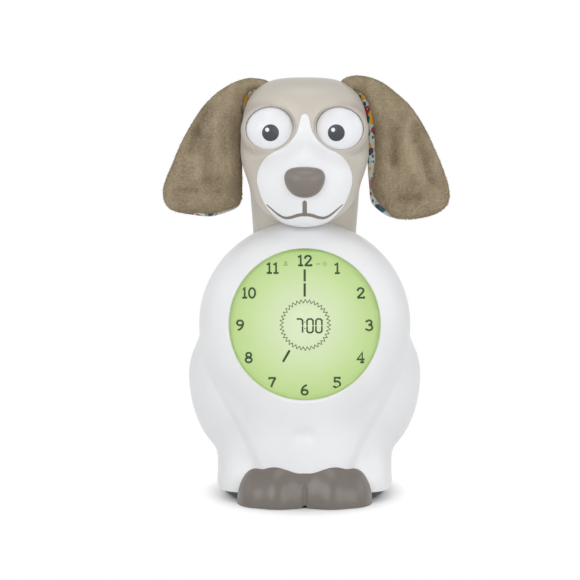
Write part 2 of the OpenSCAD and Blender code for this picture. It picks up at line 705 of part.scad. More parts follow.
module head_rear() greige() difference() {
    union() {
        intersection() {
            head_shell();
            half(head_seam + 0.1, 1);
        }
        head_boss(head_seam + 0.1, 6);
        at_both() ear_wall(8.3, 1.7);
        intersection() {
            neck_ring(neck_low, 2.4, -1, 2.3);
            half(head_seam + 0.1, 1);
        }
        for (x = [-10, 10], z = [163, 183]) rod_y(x, 18.8, z, 2.4, z < 170 ? 7.2 : 6.2);
    }
    at_both() translate([eye_x, eye_y, eye_z]) sphere(cavity_r);
    at_both() ear_sector();
    at_both() rod_y(ear_root.x, 7, ear_root.z, 1.02, 4);
    for (x = [-10, 10], z = [163, 183]) rod_y(x, 17, z, 1.12, 7);
    for (s = head_screw_spots) {
        rod_y(s.x, head_seam, s.y, 1.2, 5);
        rod_y(s.x, head_seam + 3, s.y, 2.3, 40);
    }
}

module head_screws() color([0.7, 0.7, 0.72]) {
    for (s = head_screw_spots) translate([s.x, head_seam + 3, s.y]) rotate([-90, 0, 0]) screw(1.1, 9);
    for (x = [-10, 10], z = [163, 183]) translate([x, 17.2, z]) rotate([90, 0, 0]) screw(1.1, 6);
}

module muzzle_cover() white() difference() {
    intersection() {
        head_shell();
        through(-15) blaze_outline(0);
        half(head_seam - 10, -1);
    }
    at_both() translate([eye_x, eye_y, eye_z]) sphere(cavity_r);
    at_both() through(eye_y) eye_opening();
    under_chin();
    through(-23) mouth_outline(0.03);
    rod_y(0, -42, 152, 2.1, 20);
}

module mouth_line() color([0.47, 0.41, 0.37]) difference() {
    intersection() {
        head_shell();
        through(-23) mouth_outline(0);
    }
    rod_y(0, -60, 152, 7.2, 50);
}

module nose() color([0.47, 0.41, 0.37]) {
    difference() {
        hull() {
            for (x = [-4.7, 4.7]) translate([x, -36.6, 153.6]) sphere(4.7, $fn = 32);
            for (x = [-1.6, 1.6]) translate([x, -36.2, 148.4]) sphere(4.2, $fn = 32);
        }
        head_solid(0.03);
    }
    rod_y(0, -37, 152, 2, 6.5);
}

/* Turning eyes: everything turns about an axle along X */

module eye_at() at_both() translate([eye_x, eye_y, eye_z]) children();

module ball_half(s) difference() {
    intersection() {
        difference() {
            sphere(eye_r);
            sphere(eye_r - 1.5);
        }
        translate([4.7 - eye_x, -20, -20]) cube([40, 40, 40]);
    }
    translate([-20, s > 0 ? -40 : -0.02, -20]) cube([40, 40, 40]);
}

module eyeballs() color([0.97, 0.97, 0.97]) eye_at() difference() {
    union() {
        ball_half(-1);
        intersection() {
            translate([4.7 - eye_x, -1.4, -20]) cube([40, 1.4, 40]);
            sphere(eye_r - 1);
        }
        translate([4.8 - eye_x, 0, 0]) rotate([0, 90, 0]) cylinder(h = 20, r = 3);
    }
    translate([-30, 0, 0]) rotate([0, 90, 0]) cylinder(h = 60, r = 1.52);
    pupil_rod(pupil_r + 0.02);
}

module pupils() color([0.2, 0.2, 0.21]) eye_at() intersection() {
    difference() {
        sphere(eye_r + 0.05);
        sphere(eye_r - 1.5);
    }
    pupil_rod(pupil_r);
}

// Both pupils sit inward of the eyes' middles and a little to the left.
module pupil_rod(r) translate([-1.15 - 0.6 * $side, -20, -0.15]) rotate([-90, 0, 0]) cylinder(h = 12, r = r);

module eyelids() greige() eye_at() difference() {
    ball_half(1);
    translate([-30, 0, 0]) rotate([0, 90, 0]) cylinder(h = 60, r = 3.1);
    lash(0.04);
}

// A curved lash line low on the closed lid, grown by g.
module lash(g) rotate([180, 0, 0]) rotate([62, 0, 0]) rotate(212 - g * 5) rotate_extrude(angle = 116 + g * 10)
    rotate(40) translate([eye_r - 0.9 - g, -0.45 - g]) square([2, 0.9 + 2 * g]);

module lash_lines() color([0.35, 0.3, 0.28]) eye_at() intersection() {
    lash(0);
    sphere(eye_r + 0.05);
}

module eye_shaft() color([0.75, 0.75, 0.77]) rod_x(-24.5, eye_y, eye_z, 1.5, 49);

// A spur gear along +X with straight-sided teeth; phase in degrees turns it.
module gear(teeth, phase, bore, h) rotate([0, 90, 0]) rotate(phase) linear_extrude(h) difference() {
    union() {
        circle(gear_m * (teeth / 2 - 1.25));
        for (i = [0 : teeth - 1]) rotate(360 * i / teeth) tooth(teeth);
    }
    circle(bore);
}

module tooth(teeth) {
    r = gear_m * teeth / 2;
    polygon([[r - 1.6 * gear_m, -1.12 * gear_m], [r - 0.6 * gear_m, -0.92 * gear_m], [r, -0.68 * gear_m],
        [r + 0.95 * gear_m, -0.3 * gear_m], [r + 0.95 * gear_m, 0.3 * gear_m], [r, 0.68 * gear_m],
        [r - 0.6 * gear_m, 0.92 * gear_m], [r - 1.6 * gear_m, 1.12 * gear_m]]);
}

module eye_gear() color([0.9, 0.88, 0.82]) translate([-2.7, eye_y, eye_z]) gear(24, 90, 1.52, 2.4);

module idler_gear() color([0.9, 0.88, 0.82]) translate([0, eye_y + gear_step, eye_z]) {
    translate([-2.7, 0, 0]) gear(12, 90 + 15, 1.05, 3);
    translate([0.2, 0, 0]) gear(24, 90, 1.05, 2.4);
}

module motor_pinion() color([0.8, 0.75, 0.5]) translate([0.2, eye_y + 2 * gear_step, eye_z]) {
    gear(12, 90 + 15, 0.9, 2.4);
    rod_x(0, 0, 0, 1, 5);
}

module eye_motor() color([0.7, 0.7, 0.72]) translate([4.4, eye_y + 2 * gear_step, eye_z]) {
    difference() {
        union() {
            translate([0, -5, -6]) cube([9, 10, 12]);
            rod_x(-0.2, 0, 0, 2, 0.2);
        }
        rod_x(-1, 0, 0, 1.06, 2.4);
    }
    intersection() {
        translate([9, -5, -6]) cube([11, 10, 12]);
        rod_x(9, 0, 0, 6, 11);
    }
    rod_x(20, 0, 0, 2.5, 0.8);
    for (y = [-3.2, 3.2]) translate([20, y - 0.8, -0.9]) cube([0.8, 1.6, 1.8]);
}

module eye_chassis() color([0.85, 0.85, 0.83]) difference() {
    union() {
        at_both() translate([3.2, -17.5, 161]) cube([1, 35.9, 24]);
        translate([-14, 17.2, 159]) cube([28, 1.5, 28]);
        rod_x(3.2 - 8, eye_y + gear_step, eye_z, 1, 9.6);
    }
    at_both() rod_x(3, eye_y, eye_z, 1.55, 3);
    rod_x(3, eye_y + 2 * gear_step, eye_z, 2.1, 3);
    rod_x(-6, eye_y + 2 * gear_step, eye_z, 1.2, 4);
    for (x = [-10, 10], z = [163, 183]) rod_y(x, 16, z, 1.2, 4);
    at_both() translate([3, -18, 158]) cube([2, 8, 5]);
}

module motor_wires() color([0.75, 0.15, 0.12]) for (k = [0, 1])
    wire([[25.2, 1.9 + k * 6.4, 173.3], [26, 1.9 + k * 6.4, 173.3], [25.2, 2.5 + k * 5, 163],
        [12 + k * 2.4, 6, 159.5], [12 + k * 2.4, 6, 97], dial_point(12 + k * 2.4, 12, -4),
        dial_point(12 + k * 2.4, 12, 4)], 0.45);

/* Ears: flat soft lobes that hang from a pin at the head's shoulder */

// Stations along one ear: x, z, half-width in the front view.
ear_path = [[21.5, 187.8, 4.2], [24.2, 190.6, 4.4], [27.6, 192, 5], [32, 189.8, 6], [38.4, 182.2, 8],
    [42.8, 171.5, 11.4], [46.1, 158.5, 14.6], [48.6, 146.5, 17.1], [49.4, 139.5, 17.2],
    [49.5, 134.9, 13.4], [49.5, 132.4, 7]];

function ear_normal(i) =
    let (n = len(ear_path), a = ear_path[max(i - 1, 0)], b = ear_path[min(i + 1, n - 1)],
        d = [b.x - a.x, b.y - a.y])
    [-d.y, d.x] / norm(d);

// Half of the lobe on one side of its middle plane: s = -1 front, s = 1 rear.
module ear_half(s, bulge) {
    n = 12;
    rows = len(ear_path);
    section = [for (k = [0 : n]) let (a = 180 * k / n) [cos(a), sin(a)]];
    points = [for (i = [0 : rows - 1]) for (c = section)
        let (u = ear_normal(i), p = ear_path[i],
            deep = bulge * (i == rows - 1 ? 0.5 : i < 3 ? 0.8 + 0.03 * i : 1))
        [p.x + c.x * p[2] * u.x, ear_root.y + s * deep * pow(max(c.y, 0), 0.8), p.y + c.x * p[2] * u.y]];
    m = n + 1;
    start = [for (k = [0 : n]) k];
    end = [for (k = [0 : n]) (rows - 1) * m + n - k];
    sides = [for (i = [0 : rows - 2]) for (k = [0 : n]) let (j = (k + 1) % m, a = i * m + k, b = i * m + j)
        each [[a, a + m, b], [b, a + m, b + m]]];
    faces = concat([start, end], sides);
    polyhedron(points, s < 0 ? faces : [for (f = faces) [for (k = [len(f) - 1 : -1 : 0]) f[k]]]);
}

module ear_body() difference() {
    union() {
        ear_half(-1, ear_thick * 0.56);
        rod_y(ear_root.x, ear_root.y - 3.7, ear_root.z, 5, 3.7);
    }
    rod_y(ear_root.x, -2, ear_root.z, 1.08, 12);
}

module ear_lining() difference() {
    union() {
        ear_half(1, ear_thick * 0.42);
        rod_y(ear_root.x, ear_root.y, ear_root.z, 5, 3.7);
    }
    rod_y(ear_root.x, -2, ear_root.z, 1.08, 12);
}

module ear_left() color([0.55, 0.49, 0.44]) mirror([1, 0, 0]) ear_body();
module ear_right() color([0.55, 0.49, 0.44]) ear_body();
module ear_lining_left() color([0.2, 0.45, 0.5]) mirror([1, 0, 0]) ear_lining();
module ear_lining_right() color([0.2, 0.45, 0.5]) ear_lining();

module ear_pins() color([0.75, 0.75, 0.77]) at_both() rod_y(ear_root.x, -2, ear_root.z, 1, 12);

body_front();
body_rear();
body_screws();
base_plate();
base_screws();
base_feet();
paws();
dial_lens();
lcd_panel();
light_guide();
display_frame();
display_screws();
backlight_board();
backlight_leds();
lcd_connector();
main_board();
board_components();
speaker_frame();
speaker_cone();
speaker_wires();
power_socket();
battery_box();
battery_cells();
battery_springs();
battery_contacts();
battery_wires();
battery_door();
battery_door_screw();
control_panel();
button_board();
tact_switches();
panel_ribbon();
button_clock();
button_alarm();
button_light();
button_plus();
button_minus();
lock_slider();
head_front();
head_rear();
head_screws();
muzzle_cover();
mouth_line();
nose();
eyeballs();
pupils();
eyelids();
lash_lines();
eye_shaft();
eye_gear();
idler_gear();
motor_pinion();
eye_motor();
eye_chassis();
motor_wires();
ear_pins();
ear_left();
ear_right();
ear_lining_left();
ear_lining_right();
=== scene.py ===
"""Looks for the puppy alarm clock: smooth moulded skins, printed display, plush ears, studio."""

import json
import math

import bmesh
import bpy
import numpy as np
from mathutils import Matrix, Vector
from mathutils.geometry import delaunay_2d_cdt


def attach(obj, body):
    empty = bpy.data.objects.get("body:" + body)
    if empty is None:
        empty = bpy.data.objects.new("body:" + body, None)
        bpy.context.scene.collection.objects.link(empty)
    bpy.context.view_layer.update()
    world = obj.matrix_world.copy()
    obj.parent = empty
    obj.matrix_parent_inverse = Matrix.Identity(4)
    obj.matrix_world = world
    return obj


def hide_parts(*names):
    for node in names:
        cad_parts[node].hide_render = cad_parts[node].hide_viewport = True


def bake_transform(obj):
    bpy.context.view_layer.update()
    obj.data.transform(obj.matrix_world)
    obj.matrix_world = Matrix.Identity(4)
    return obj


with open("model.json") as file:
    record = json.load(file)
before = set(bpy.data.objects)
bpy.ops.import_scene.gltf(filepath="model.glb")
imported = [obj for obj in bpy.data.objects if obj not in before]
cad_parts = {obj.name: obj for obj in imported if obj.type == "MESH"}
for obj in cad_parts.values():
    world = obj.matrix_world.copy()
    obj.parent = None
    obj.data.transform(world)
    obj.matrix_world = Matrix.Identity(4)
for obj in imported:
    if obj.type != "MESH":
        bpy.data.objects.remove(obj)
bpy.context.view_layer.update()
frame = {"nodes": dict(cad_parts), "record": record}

# Sizes and places are in millimetres, as in the solids; MM makes metres of them.
MM = 0.001
WALL = 2.2
BODY_SEAM = 6.0
HEAD_SEAM = 2.5
SEAM_LAP = 0.1
SHELL_BOTTOM = 5.2
HEAD_BOTTOM = 101
DIAL_R = 35.0
DIAL_TILT = 7
TORSO_C = np.array([0, -8.2, 82.0])
TORSO_R, TORSO_FRONT, TORSO_BACK = 49.7, 33.8, 53.6
BODY_C = np.array([0, 0, 62.0])
HEAD_C = np.array([0, 4.0, 160.0])
SKULL_C = (0, 3, 163)
NECK_Y = 10.3
EYES = [(-16.35, -13.0, 173.3), (16.35, -13.0, 173.3)]
EYE_R = 12.4
EAR_ROOT = (21.5, 4.0, 187.8)
EAR_SLOT = (-7.6, -2.0)
BODY_SCREWS = [(33, 99), (33, 22)]
DOOR_SCREW_Z = 12.5
HEAD_SCREWS = [(0, 189.6), (-22.6, 154), (22.6, 154)]
BUTTONS = {"clock": (-13.5, 4.6), "alarm": (0, 4.6), "light": (13.5, 4.6),
           "plus": (-13.5, -4.9), "minus": (0, -4.9)}

# Eggs that the forms are blended from: middle and half-sizes.
FOOT = ((0, -2, 8), (41.3, 36.5, 60))
RUMP = ((0, 8, 44), (36, 37, 60))
BELLY = ((0, -8.5, 46), (34, 29, 50))
ANKLE = ((29.5, -16, 9), (11.2, 13.5, 13.5))
JAW = ((0, -10, 158), (27.5, 17, 28))
MUZZLE = ((0, -19, 150.5), (22, 17.5, 19.5))
TOE = ((12.9, -28.6, 1.5), (13, 16.8, 18.8))
TOE_SIDE = ((22.8, -27, 1), (8.9, 14.5, 16))
TOE_BRIDGE = ((0, -27, 1), (23, 14.5, 25.2))

# Frames of the display, of the rear panel, and of columns laid to the rear and to the front.
DIAL = Matrix.Translation(TORSO_C) @ Matrix.Rotation(math.radians(90 - DIAL_TILT), 4, "X")
PANEL = (Matrix.Translation((0, 41.6, 87.5)) @ Matrix.Rotation(math.radians(-85), 4, "X")
         @ Matrix.Diagonal((1, -1, 1, 1)))
REARWARD = Matrix.Rotation(math.radians(-90), 4, "X")
FORWARD = Matrix.Rotation(math.radians(90), 4, "X")


# ---- forms


def smooth_min(a, b, k):
    """The nearer of two fields, blended over a band k wide."""
    h = np.maximum(k - np.abs(a - b), 0) / k
    return np.minimum(a, b) - h * h * k / 4


def egg(p, centre, size):
    """Near-distance to an egg."""
    q = (p - np.array(centre, float)) / size
    n = np.linalg.norm(q, axis=1)
    return n * (n - 1) / np.maximum(np.linalg.norm(q / size, axis=1), 1e-6)


def round_form(a, b, n, ra, rb):
    """Near-distance to a form whose two scaled distances a and b join with exponent n."""
    slope = n * np.hypot(a ** (n - 1) / ra, b ** (n - 1) / rb)
    return (a**n + b**n - 1) / np.maximum(slope, 1e-4)


def torso(p):
    """The round torso: it leans with the display and is deeper behind."""
    d = p - TORSO_C
    s, c = math.sin(math.radians(DIAL_TILT)), math.cos(math.radians(DIAL_TILT))
    w, up = d[:, 2] * s - d[:, 1] * c, d[:, 1] * s + d[:, 2] * c
    up = np.where(up > 0, up * 1.022, up)
    deep = np.where(w > 0, TORSO_FRONT, TORSO_BACK)
    n = np.where(w > 0, 2.8, 2.6)
    return round_form(np.hypot(d[:, 0], up) / TORSO_R, np.abs(w) / deep, n, TORSO_R, deep)


def leg(p):
    """A haunch and its ankle, on the side of +X."""
    tall = np.where(p[:, 2] > 56, 28.0, 40.0)
    size = np.stack([np.full(len(p), 25.5), np.full(len(p), 34.0), tall], 1)
    return smooth_min(egg(p, (29.7, 6, 56), size), egg(p, *ANKLE), 12)


def body_field(p):
    foot = smooth_min(egg(p, *FOOT), egg(p, *RUMP), 8)
    belly = smooth_min(foot, egg(p, *BELLY), 10)
    legs = np.minimum(leg(p), leg(p * (-1, 1, 1)))
    whole = smooth_min(smooth_min(belly, torso(p), 8), legs, 5)
    front = np.clip(-p[:, 1] / 8, 0, 1)
    dimple = 2.1 * np.exp(-((p[:, 0] / 4.6) ** 2) - ((p[:, 2] - 33.6) / 3.6) ** 2) * front
    return whole + dimple + thigh_step(p) * front


def thigh_step(p):
    """The belly stands a little proud of the thighs along a line down to the ankles."""
    line = np.interp(p[:, 2], (10, 17, 24, 35.5, 48, 61, 72), (19, 21, 24, 30, 37, 43.7, 47))
    off = np.abs(p[:, 0]) - line
    t = np.clip(off / 5 + 0.5, 0, 1)
    ends = np.clip((p[:, 2] - 9) / 10, 0, 1) * np.clip((70 - p[:, 2]) / 14, 0, 1)
    return 1.3 * t * t * (3 - 2 * t) * np.exp(-np.maximum(off - 2, 0) / 8) * ends


def skull(p):
    """A flat-topped crown over a soft rectangle."""
    q, corner = p - SKULL_C, 2.3
    across = (np.abs(q[:, 0]) / 30) ** corner + (np.abs(q[:, 1]) / 25) ** corner
    crown = q[:, 2] > 0
    tall = np.where(crown, 34.3, 26.0)
    n = np.where(crown, 3.2, 2.0)
    return round_form(across ** (1 / corner), np.abs(q[:, 2]) / tall, n, 27.0, tall)


def neck(p):
    """A column that widens upward, its rear eased so that it runs into the crown."""
    flare = 0.075 * np.maximum(p[:, 2] - 124, 0)
    nape = np.where(p[:, 1] > NECK_Y, 0.16 * np.maximum(p[:, 2] - 128, 0), 0)
    wide, deep = p[:, 0] / (24.5 + flare), (p[:, 1] - NECK_Y) / (17 + flare - nape)
    return np.maximum((np.hypot(wide, deep) - 1) * (17 + flare), p[:, 2] - 152)


def head_field(p):
    lean = p - np.outer(p[:, 2] - 158, (0, 0.6, 0))
    face = smooth_min(egg(lean, *JAW), egg(p, *MUZZLE), 6)
    sockets = np.minimum(*[np.linalg.norm(p - eye, axis=1) - 13.5 for eye in np.array(EYES)])
    round_eyes = np.hypot(np.abs(p[:, 0]) - EYES[1][0], p[:, 2] - EYES[1][2])
    sunk = 1.4 / (1 + (round_eyes / 14) ** 8) * np.clip((-12 - p[:, 1]) / 5, 0, 1)
    return smooth_min(smooth_min(smooth_min(skull(p), face, 7) + sunk, neck(p), 5), sockets, 2.5)


def paw_field(p):
    q = np.hstack([np.abs(p[:, :1]), p[:, 1:]])
    toes = smooth_min(egg(q, *TOE), egg(q, *TOE_SIDE), 5)
    crease = 0.7 * np.exp(-((p[:, 0] / 1.1) ** 2)) * np.clip((12 - p[:, 2]) / 3, 0, 1)
    return smooth_min(toes, egg(q, *TOE_BRIDGE), 4.5) + crease


def narrowed(low, high, is_low):
    """Where is_low turns false between low and high."""
    for _ in range(24):
        mid = (low + high) / 2
        below = is_low(mid)
        low, high = np.where(below, mid, low), np.where(below, high, mid)
    return low


def skin_points(field, centre, rays, level):
    """Where rays from centre meet the field's level."""
    reach = narrowed(np.full(len(rays), 3.0), np.full(len(rays), 130.0),
                     lambda far: field(centre + rays * far[:, None]) < level)
    return centre + rays * reach[:, None]


def surface_y(xz):
    """Depth of the head's skin in front of points of the front view."""
    xz = np.asarray(xz, float)
    return narrowed(np.full(len(xz), -60.0), np.full(len(xz), -12.0),
                    lambda y: head_field(np.stack([xz[:, 0], y, xz[:, 1]], 1)) >= 0)


# ---- outlines and meshes


def oval(rx, ry, centre=(0, 0), turn=0.0, n=96):
    a = np.linspace(0, 2 * np.pi, n, endpoint=False)
    c, s = math.cos(math.radians(turn)), math.sin(math.radians(turn))
    x, y = rx * np.cos(a), ry * np.sin(a)
    return list(zip(centre[0] + x * c - y * s, centre[1] + x * s + y * c))


def rounded(w, h, r, centre=(0, 0), n=8):
    """Outline of a rounded rectangle."""
    out = []
    for i, (sx, sy) in enumerate([(1, 1), (-1, 1), (-1, -1), (1, -1)]):
        for t in np.radians(np.linspace(i * 90, i * 90 + 90, n)):
            out.append((centre[0] + sx * (w / 2 - r) + r * math.cos(t),
                        centre[1] + sy * (h / 2 - r) + r * math.sin(t)))
    return out


def both_sides(half):
    """A line from its mirror image at -x to its own end, through its first point at x = 0."""
    return [(-x, z) for x, z in half[:0:-1]] + half


def curve_point(a, b, c, d, t):
    """A point of the smooth curve from b to c whose neighbours are a and d."""
    return 0.5 * (2 * b + (c - a) * t + (2 * a - 5 * b + 4 * c - d) * t**2
                  + (3 * b - a - 3 * c + d) * t**3)


def smooth_ring(points, per_side, fixed=()):
    """A closed curve through the points; a side that ends at a fixed one stays straight."""
    n, out = len(points), []
    for i in range(n):
        corners = [np.array(points[(i + k) % n], float) for k in (-1, 0, 1, 2)]
        straight = i in fixed or (i + 1) % n in fixed
        steps = [0] if straight else np.arange(per_side) / per_side
        out += [curve_point(*corners, t) for t in steps]
    return np.array(out)


def smooth_path(points, per_side=6):
    """An open curve through the points."""
    p = np.array(points, float)
    p = np.vstack([2 * p[0] - p[1], p, 2 * p[-1] - p[-2]])
    out = [curve_point(*corners, t) for corners in zip(p, p[1:], p[2:], p[3:])
           for t in np.arange(per_side) / per_side]
    return np.array(out + [p[-2]])


def add_object(name, data):
    obj = bpy.data.objects.new(name, data)
    bpy.context.scene.collection.objects.link(obj)
    return obj


def new_object(name, verts_mm, faces, matrix=None):
    """A closed mesh at the origin from millimetre points, its place in its mesh."""
    mesh = bpy.data.meshes.new(name)
    points = np.asarray(verts_mm, float)
    if matrix is not None:
        m = np.array(matrix)
        points = points @ m[:3, :3].T + m[:3, 3]
    mesh.from_pydata((points * MM).tolist(), [], [list(map(int, f)) for f in faces])
    bm = bmesh.new()
    bm.from_mesh(mesh)
    bmesh.ops.remove_doubles(bm, verts=bm.verts, dist=1e-7)
    bmesh.ops.recalc_face_normals(bm, faces=bm.faces)
    bm.to_mesh(mesh)
    bm.free()
    return add_object(name, mesh)


def bands(rows, n, closed=False):
    """Quads from each ring of n points to the next, and from the last to the first if closed."""
    return [(i * n + j, i * n + (j + 1) % n, (i + 1) % rows * n + (j + 1) % n,
             (i + 1) % rows * n + j)
            for i in range(rows if closed else rows - 1) for j in range(n)]


def blob(name, field, centre, level, rings, cols):
    """Closed skin of a field, as rings of latitude round a centre."""
    lat = np.radians(90 - 180 * np.arange(1, rings) / rings)
    lon = 2 * np.pi * (np.arange(cols) + 0.5) / cols
    la, lo = np.meshgrid(lat, lon, indexing="ij")
    rays = np.stack([np.cos(la) * np.cos(lo), np.cos(la) * np.sin(lo), np.sin(la)], -1)
    rays = np.vstack([rays.reshape(-1, 3), [(0, 0, 1), (0, 0, -1)]])
    n = (rings - 1) * cols
    j = np.arange(cols)
    k = (j + 1) % cols
    faces = [(n, a, b) for a, b in zip(j, k)]
    faces += [(n + 1, n - cols + b, n - cols + a) for a, b in zip(j, k)]
    for row in range(0, n - cols, cols):
        faces += list(zip(row + j, row + cols + j, row + cols + k, row + k))
    return new_object(name, skin_points(field, centre, rays, level), faces)


def prism(outline, low, high, matrix=None):
    """A straight column over a closed 2-D outline."""
    n = len(outline)
    verts = [(x, y, z) for z in (low, high) for x, y in outline]
    ends = [tuple(range(n - 1, -1, -1)), tuple(range(n, 2 * n))]
    return new_object("cutter", verts, ends + bands(2, n), matrix)


def box(low, high):
    (x0, y0, z0), (x1, y1, z1) = low, high
    return prism([(x0, y0), (x1, y0), (x1, y1), (x0, y1)], z0, z1)


def slab(y0, y1, top):
    """A block over the whole width that takes one half of a shell away."""
    return box((-80, y0, -20), (80, y1, top))


def lathe(name, profile, matrix=None, n=128):
    """A closed (radius, height) profile turned about Z; points on the axis are shared."""
    verts, faces, rings = [], [], []
    for r, z in profile:
        if r < 1e-6:
            rings.append([len(verts)] * n)
            verts.append((0, 0, z))
        else:
            rings.append(list(range(len(verts), len(verts) + n)))
            turns = [2 * math.pi * i / n for i in range(n)]
            verts += [(r * math.cos(a), r * math.sin(a), z) for a in turns]
    for a, b in zip(rings, rings[1:] + rings[:1]):
        for i in range(n):
            k = (i + 1) % n
            face = list(dict.fromkeys([a[i], a[k], b[k], b[i]]))
            if len(face) > 2:
                faces.append(face)
    return new_object(name, verts, faces, matrix)


def cut(obj, cutters, keep=False):
    """Takes the cutters out of obj, or keeps only what lies in them."""
    for cutter in cutters:
        m = obj.modifiers.new("cut", "BOOLEAN")
        m.operation, m.object, m.solver = "INTERSECT" if keep else "DIFFERENCE", cutter, "MANIFOLD"
        graph = bpy.context.evaluated_depsgraph_get()
        mesh = bpy.data.meshes.new_from_object(obj.evaluated_get(graph))
        obj.modifiers.clear()
        obj.data = mesh
        bpy.data.objects.remove(cutter)
    return obj


def without_doubled_faces(obj):
    """Takes away the faces that a cut left back to back on the same points."""
    bm = bmesh.new()
    bm.from_mesh(obj.data)
    alike = {}
    for face in bm.faces:
        alike.setdefault(frozenset(v.index for v in face.verts), []).append(face)
    doubled = [f for faces in alike.values() if len(faces) > 1 for f in faces]
    bmesh.ops.delete(bm, geom=doubled, context="FACES")
    bm.to_mesh(obj.data)
    bm.free()
    return obj


def copy_of(obj, name):
    return add_object(name, obj.data.copy())


def joined(name, parts):
    """One mesh from several objects, which are removed."""
    bm = bmesh.new()
    for part in parts:
        bm.from_mesh(part.data)
        bpy.data.objects.remove(part)
    mesh = bpy.data.meshes.new(name)
    bm.to_mesh(mesh)
    bm.free()
    return add_object(name, mesh)


# ---- finishes


def srgb(r, g, b):
    """Linear colour of an sRGB colour given from 0 to 255."""
    return tuple((v / 255 / 12.92) if v < 10 else ((v / 255 + 0.055) / 1.055) ** 2.4
                 for v in (r, g, b)) + (1.0,)


def feed(tree, socket, value):
    """Sets a socket to a plain value, or links it to another node's output."""
    if isinstance(value, bpy.types.NodeSocket):
        tree.links.new(value, socket)
    else:
        socket.default_value = value


def add_node(tree, kind, *first, **settings):
    """A node; settings name its fields or sockets, and first fills its sockets in order."""
    made = tree.nodes.new(kind)
    for key, value in settings.items():
        label = key.replace("_", " ")
        if label in made.inputs:
            feed(tree, made.inputs[label], value)
        else:
            setattr(made, key, value)
    for socket, value in zip(made.inputs, first):
        feed(tree, socket, value)
    return made


class Finish:
    """A node material under construction."""

    def __init__(self, name, colour, roughness, **sockets):
        self.material = bpy.data.materials.new(name)
        self.material.use_nodes = True
        self.tree = self.material.node_tree
        self.shader = self.tree.nodes["Principled BSDF"]
        self.shade(Base_Color=srgb(*colour), Roughness=roughness, **sockets)
        self.coords = self.node("ShaderNodeTexCoord").outputs["Object"]
        self.relief = None

    def node(self, kind, *first, **settings):
        return add_node(self.tree, kind, *first, **settings)

    def shade(self, **sockets):
        for key, value in sockets.items():
            feed(self.tree, self.shader.inputs[key.replace("_", " ")], value)
        return self

    def placed(self, coords, **settings):
        """Coordinates moved or stretched."""
        return self.node("ShaderNodeMapping", Vector=coords, **settings).outputs["Vector"]

    def distance(self, coords):
        return self.node("ShaderNodeVectorMath", coords, operation="LENGTH").outputs["Value"]

    def noise(self, size_mm, detail=2.0, stretch=None):
        coords = self.placed(self.coords, Scale=stretch) if stretch else self.coords
        return self.node("ShaderNodeTexNoise", Vector=coords, Scale=1000 / size_mm,
                         Detail=detail).outputs["Fac"]

    def ramp(self, value, stops, how="LINEAR"):
        """Colours along a value, from (place, colour) stops."""
        made = self.node("ShaderNodeValToRGB", value)
        band = made.color_ramp
        band.interpolation = how
        while len(band.elements) < len(stops):
            band.elements.new(0.5)
        for element, (at, colour) in zip(band.elements, stops):
            element.position, element.color = at, colour
        return made.outputs["Color"]

    def between(self, value, low, high, to_low=0.0, to_high=1.0):
        """A value's span from low to high, made a span from to_low to to_high."""
        return self.node("ShaderNodeMapRange", value, low, high, to_low, to_high).outputs["Result"]

    def mixed(self, a, b, share=1.0, colours=False, how="MIX"):
        """A blend of two values or colours, with the given share of the second."""
        made = self.node("ShaderNodeMix", data_type="RGBA" if colours else "FLOAT", blend_type=how)
        first, out = (6, 2) if colours else (2, 0)
        for place, value in ((0, share), (first, a), (first + 1, b)):
            feed(self.tree, made.inputs[place], value)
        return made.outputs[out]

    def rough(self, value, low, high):
        return self.shade(Roughness=self.between(value, 0, 1, low, high))

    def bump(self, value, strength, distance_mm):
        made = self.node("ShaderNodeBump", Height=value, Strength=strength,
                         Distance=distance_mm * MM)
        if self.relief is not None:
            feed(self.tree, made.inputs["Normal"], self.relief)
        self.relief = made.outputs["Normal"]
        return self.shade(Normal=self.relief)


def tint(colour, k):
    return tuple(v * k for v in srgb(*colour)[:3]) + (1.0,)


def moulded(name, colour, roughness, grain=0.35, coat=0.0):
    """Moulded plastic: faint tone drift, fine skin and uneven gloss."""
    f = Finish(name, colour, roughness, Coat_Weight=coat, Coat_Roughness=0.12)
    f.shade(Base_Color=f.ramp(f.noise(28), [(0.3, tint(colour, 0.97)), (0.7, tint(colour, 1.02))]))
    f.rough(f.noise(6, 3), roughness - 0.05, roughness + 0.07)
    return f.bump(f.noise(grain, 2), 0.05, 0.04).material


def metal(name, colour, roughness, brushed=(1, 1, 8)):
    f = Finish(name, colour, roughness, Metallic=1.0)
    f.rough(f.noise(0.6, 3, brushed), roughness - 0.08, roughness + 0.14)
    return f.bump(f.noise(0.3, 2, brushed), 0.08, 0.02).material


def circuit_board():
    f = Finish("circuit_board", (24, 96, 60), 0.4)
    tracks = f.node("ShaderNodeTexVoronoi", feature="DISTANCE_TO_EDGE", Scale=1000 / 2.2,
                    Vector=f.coords).outputs["Distance"]
    f.shade(Base_Color=f.ramp(tracks, [(0.03, srgb(58, 138, 90)), (0.06, srgb(20, 84, 52))]))
    return f.bump(tracks, 0.1, 0.03).material


def milky_guide():
    f = Finish("milky_guide", (232, 240, 214), 0.4, Transmission_Weight=0.4)
    return f.bump(f.noise(1.2), 0.1, 0.05).material


def clear_lens():
    return Finish("clear_lens", (255, 255, 255), 0.03, Transmission_Weight=1.0, IOR=1.1,
                  Specular_IOR_Level=0.4).material


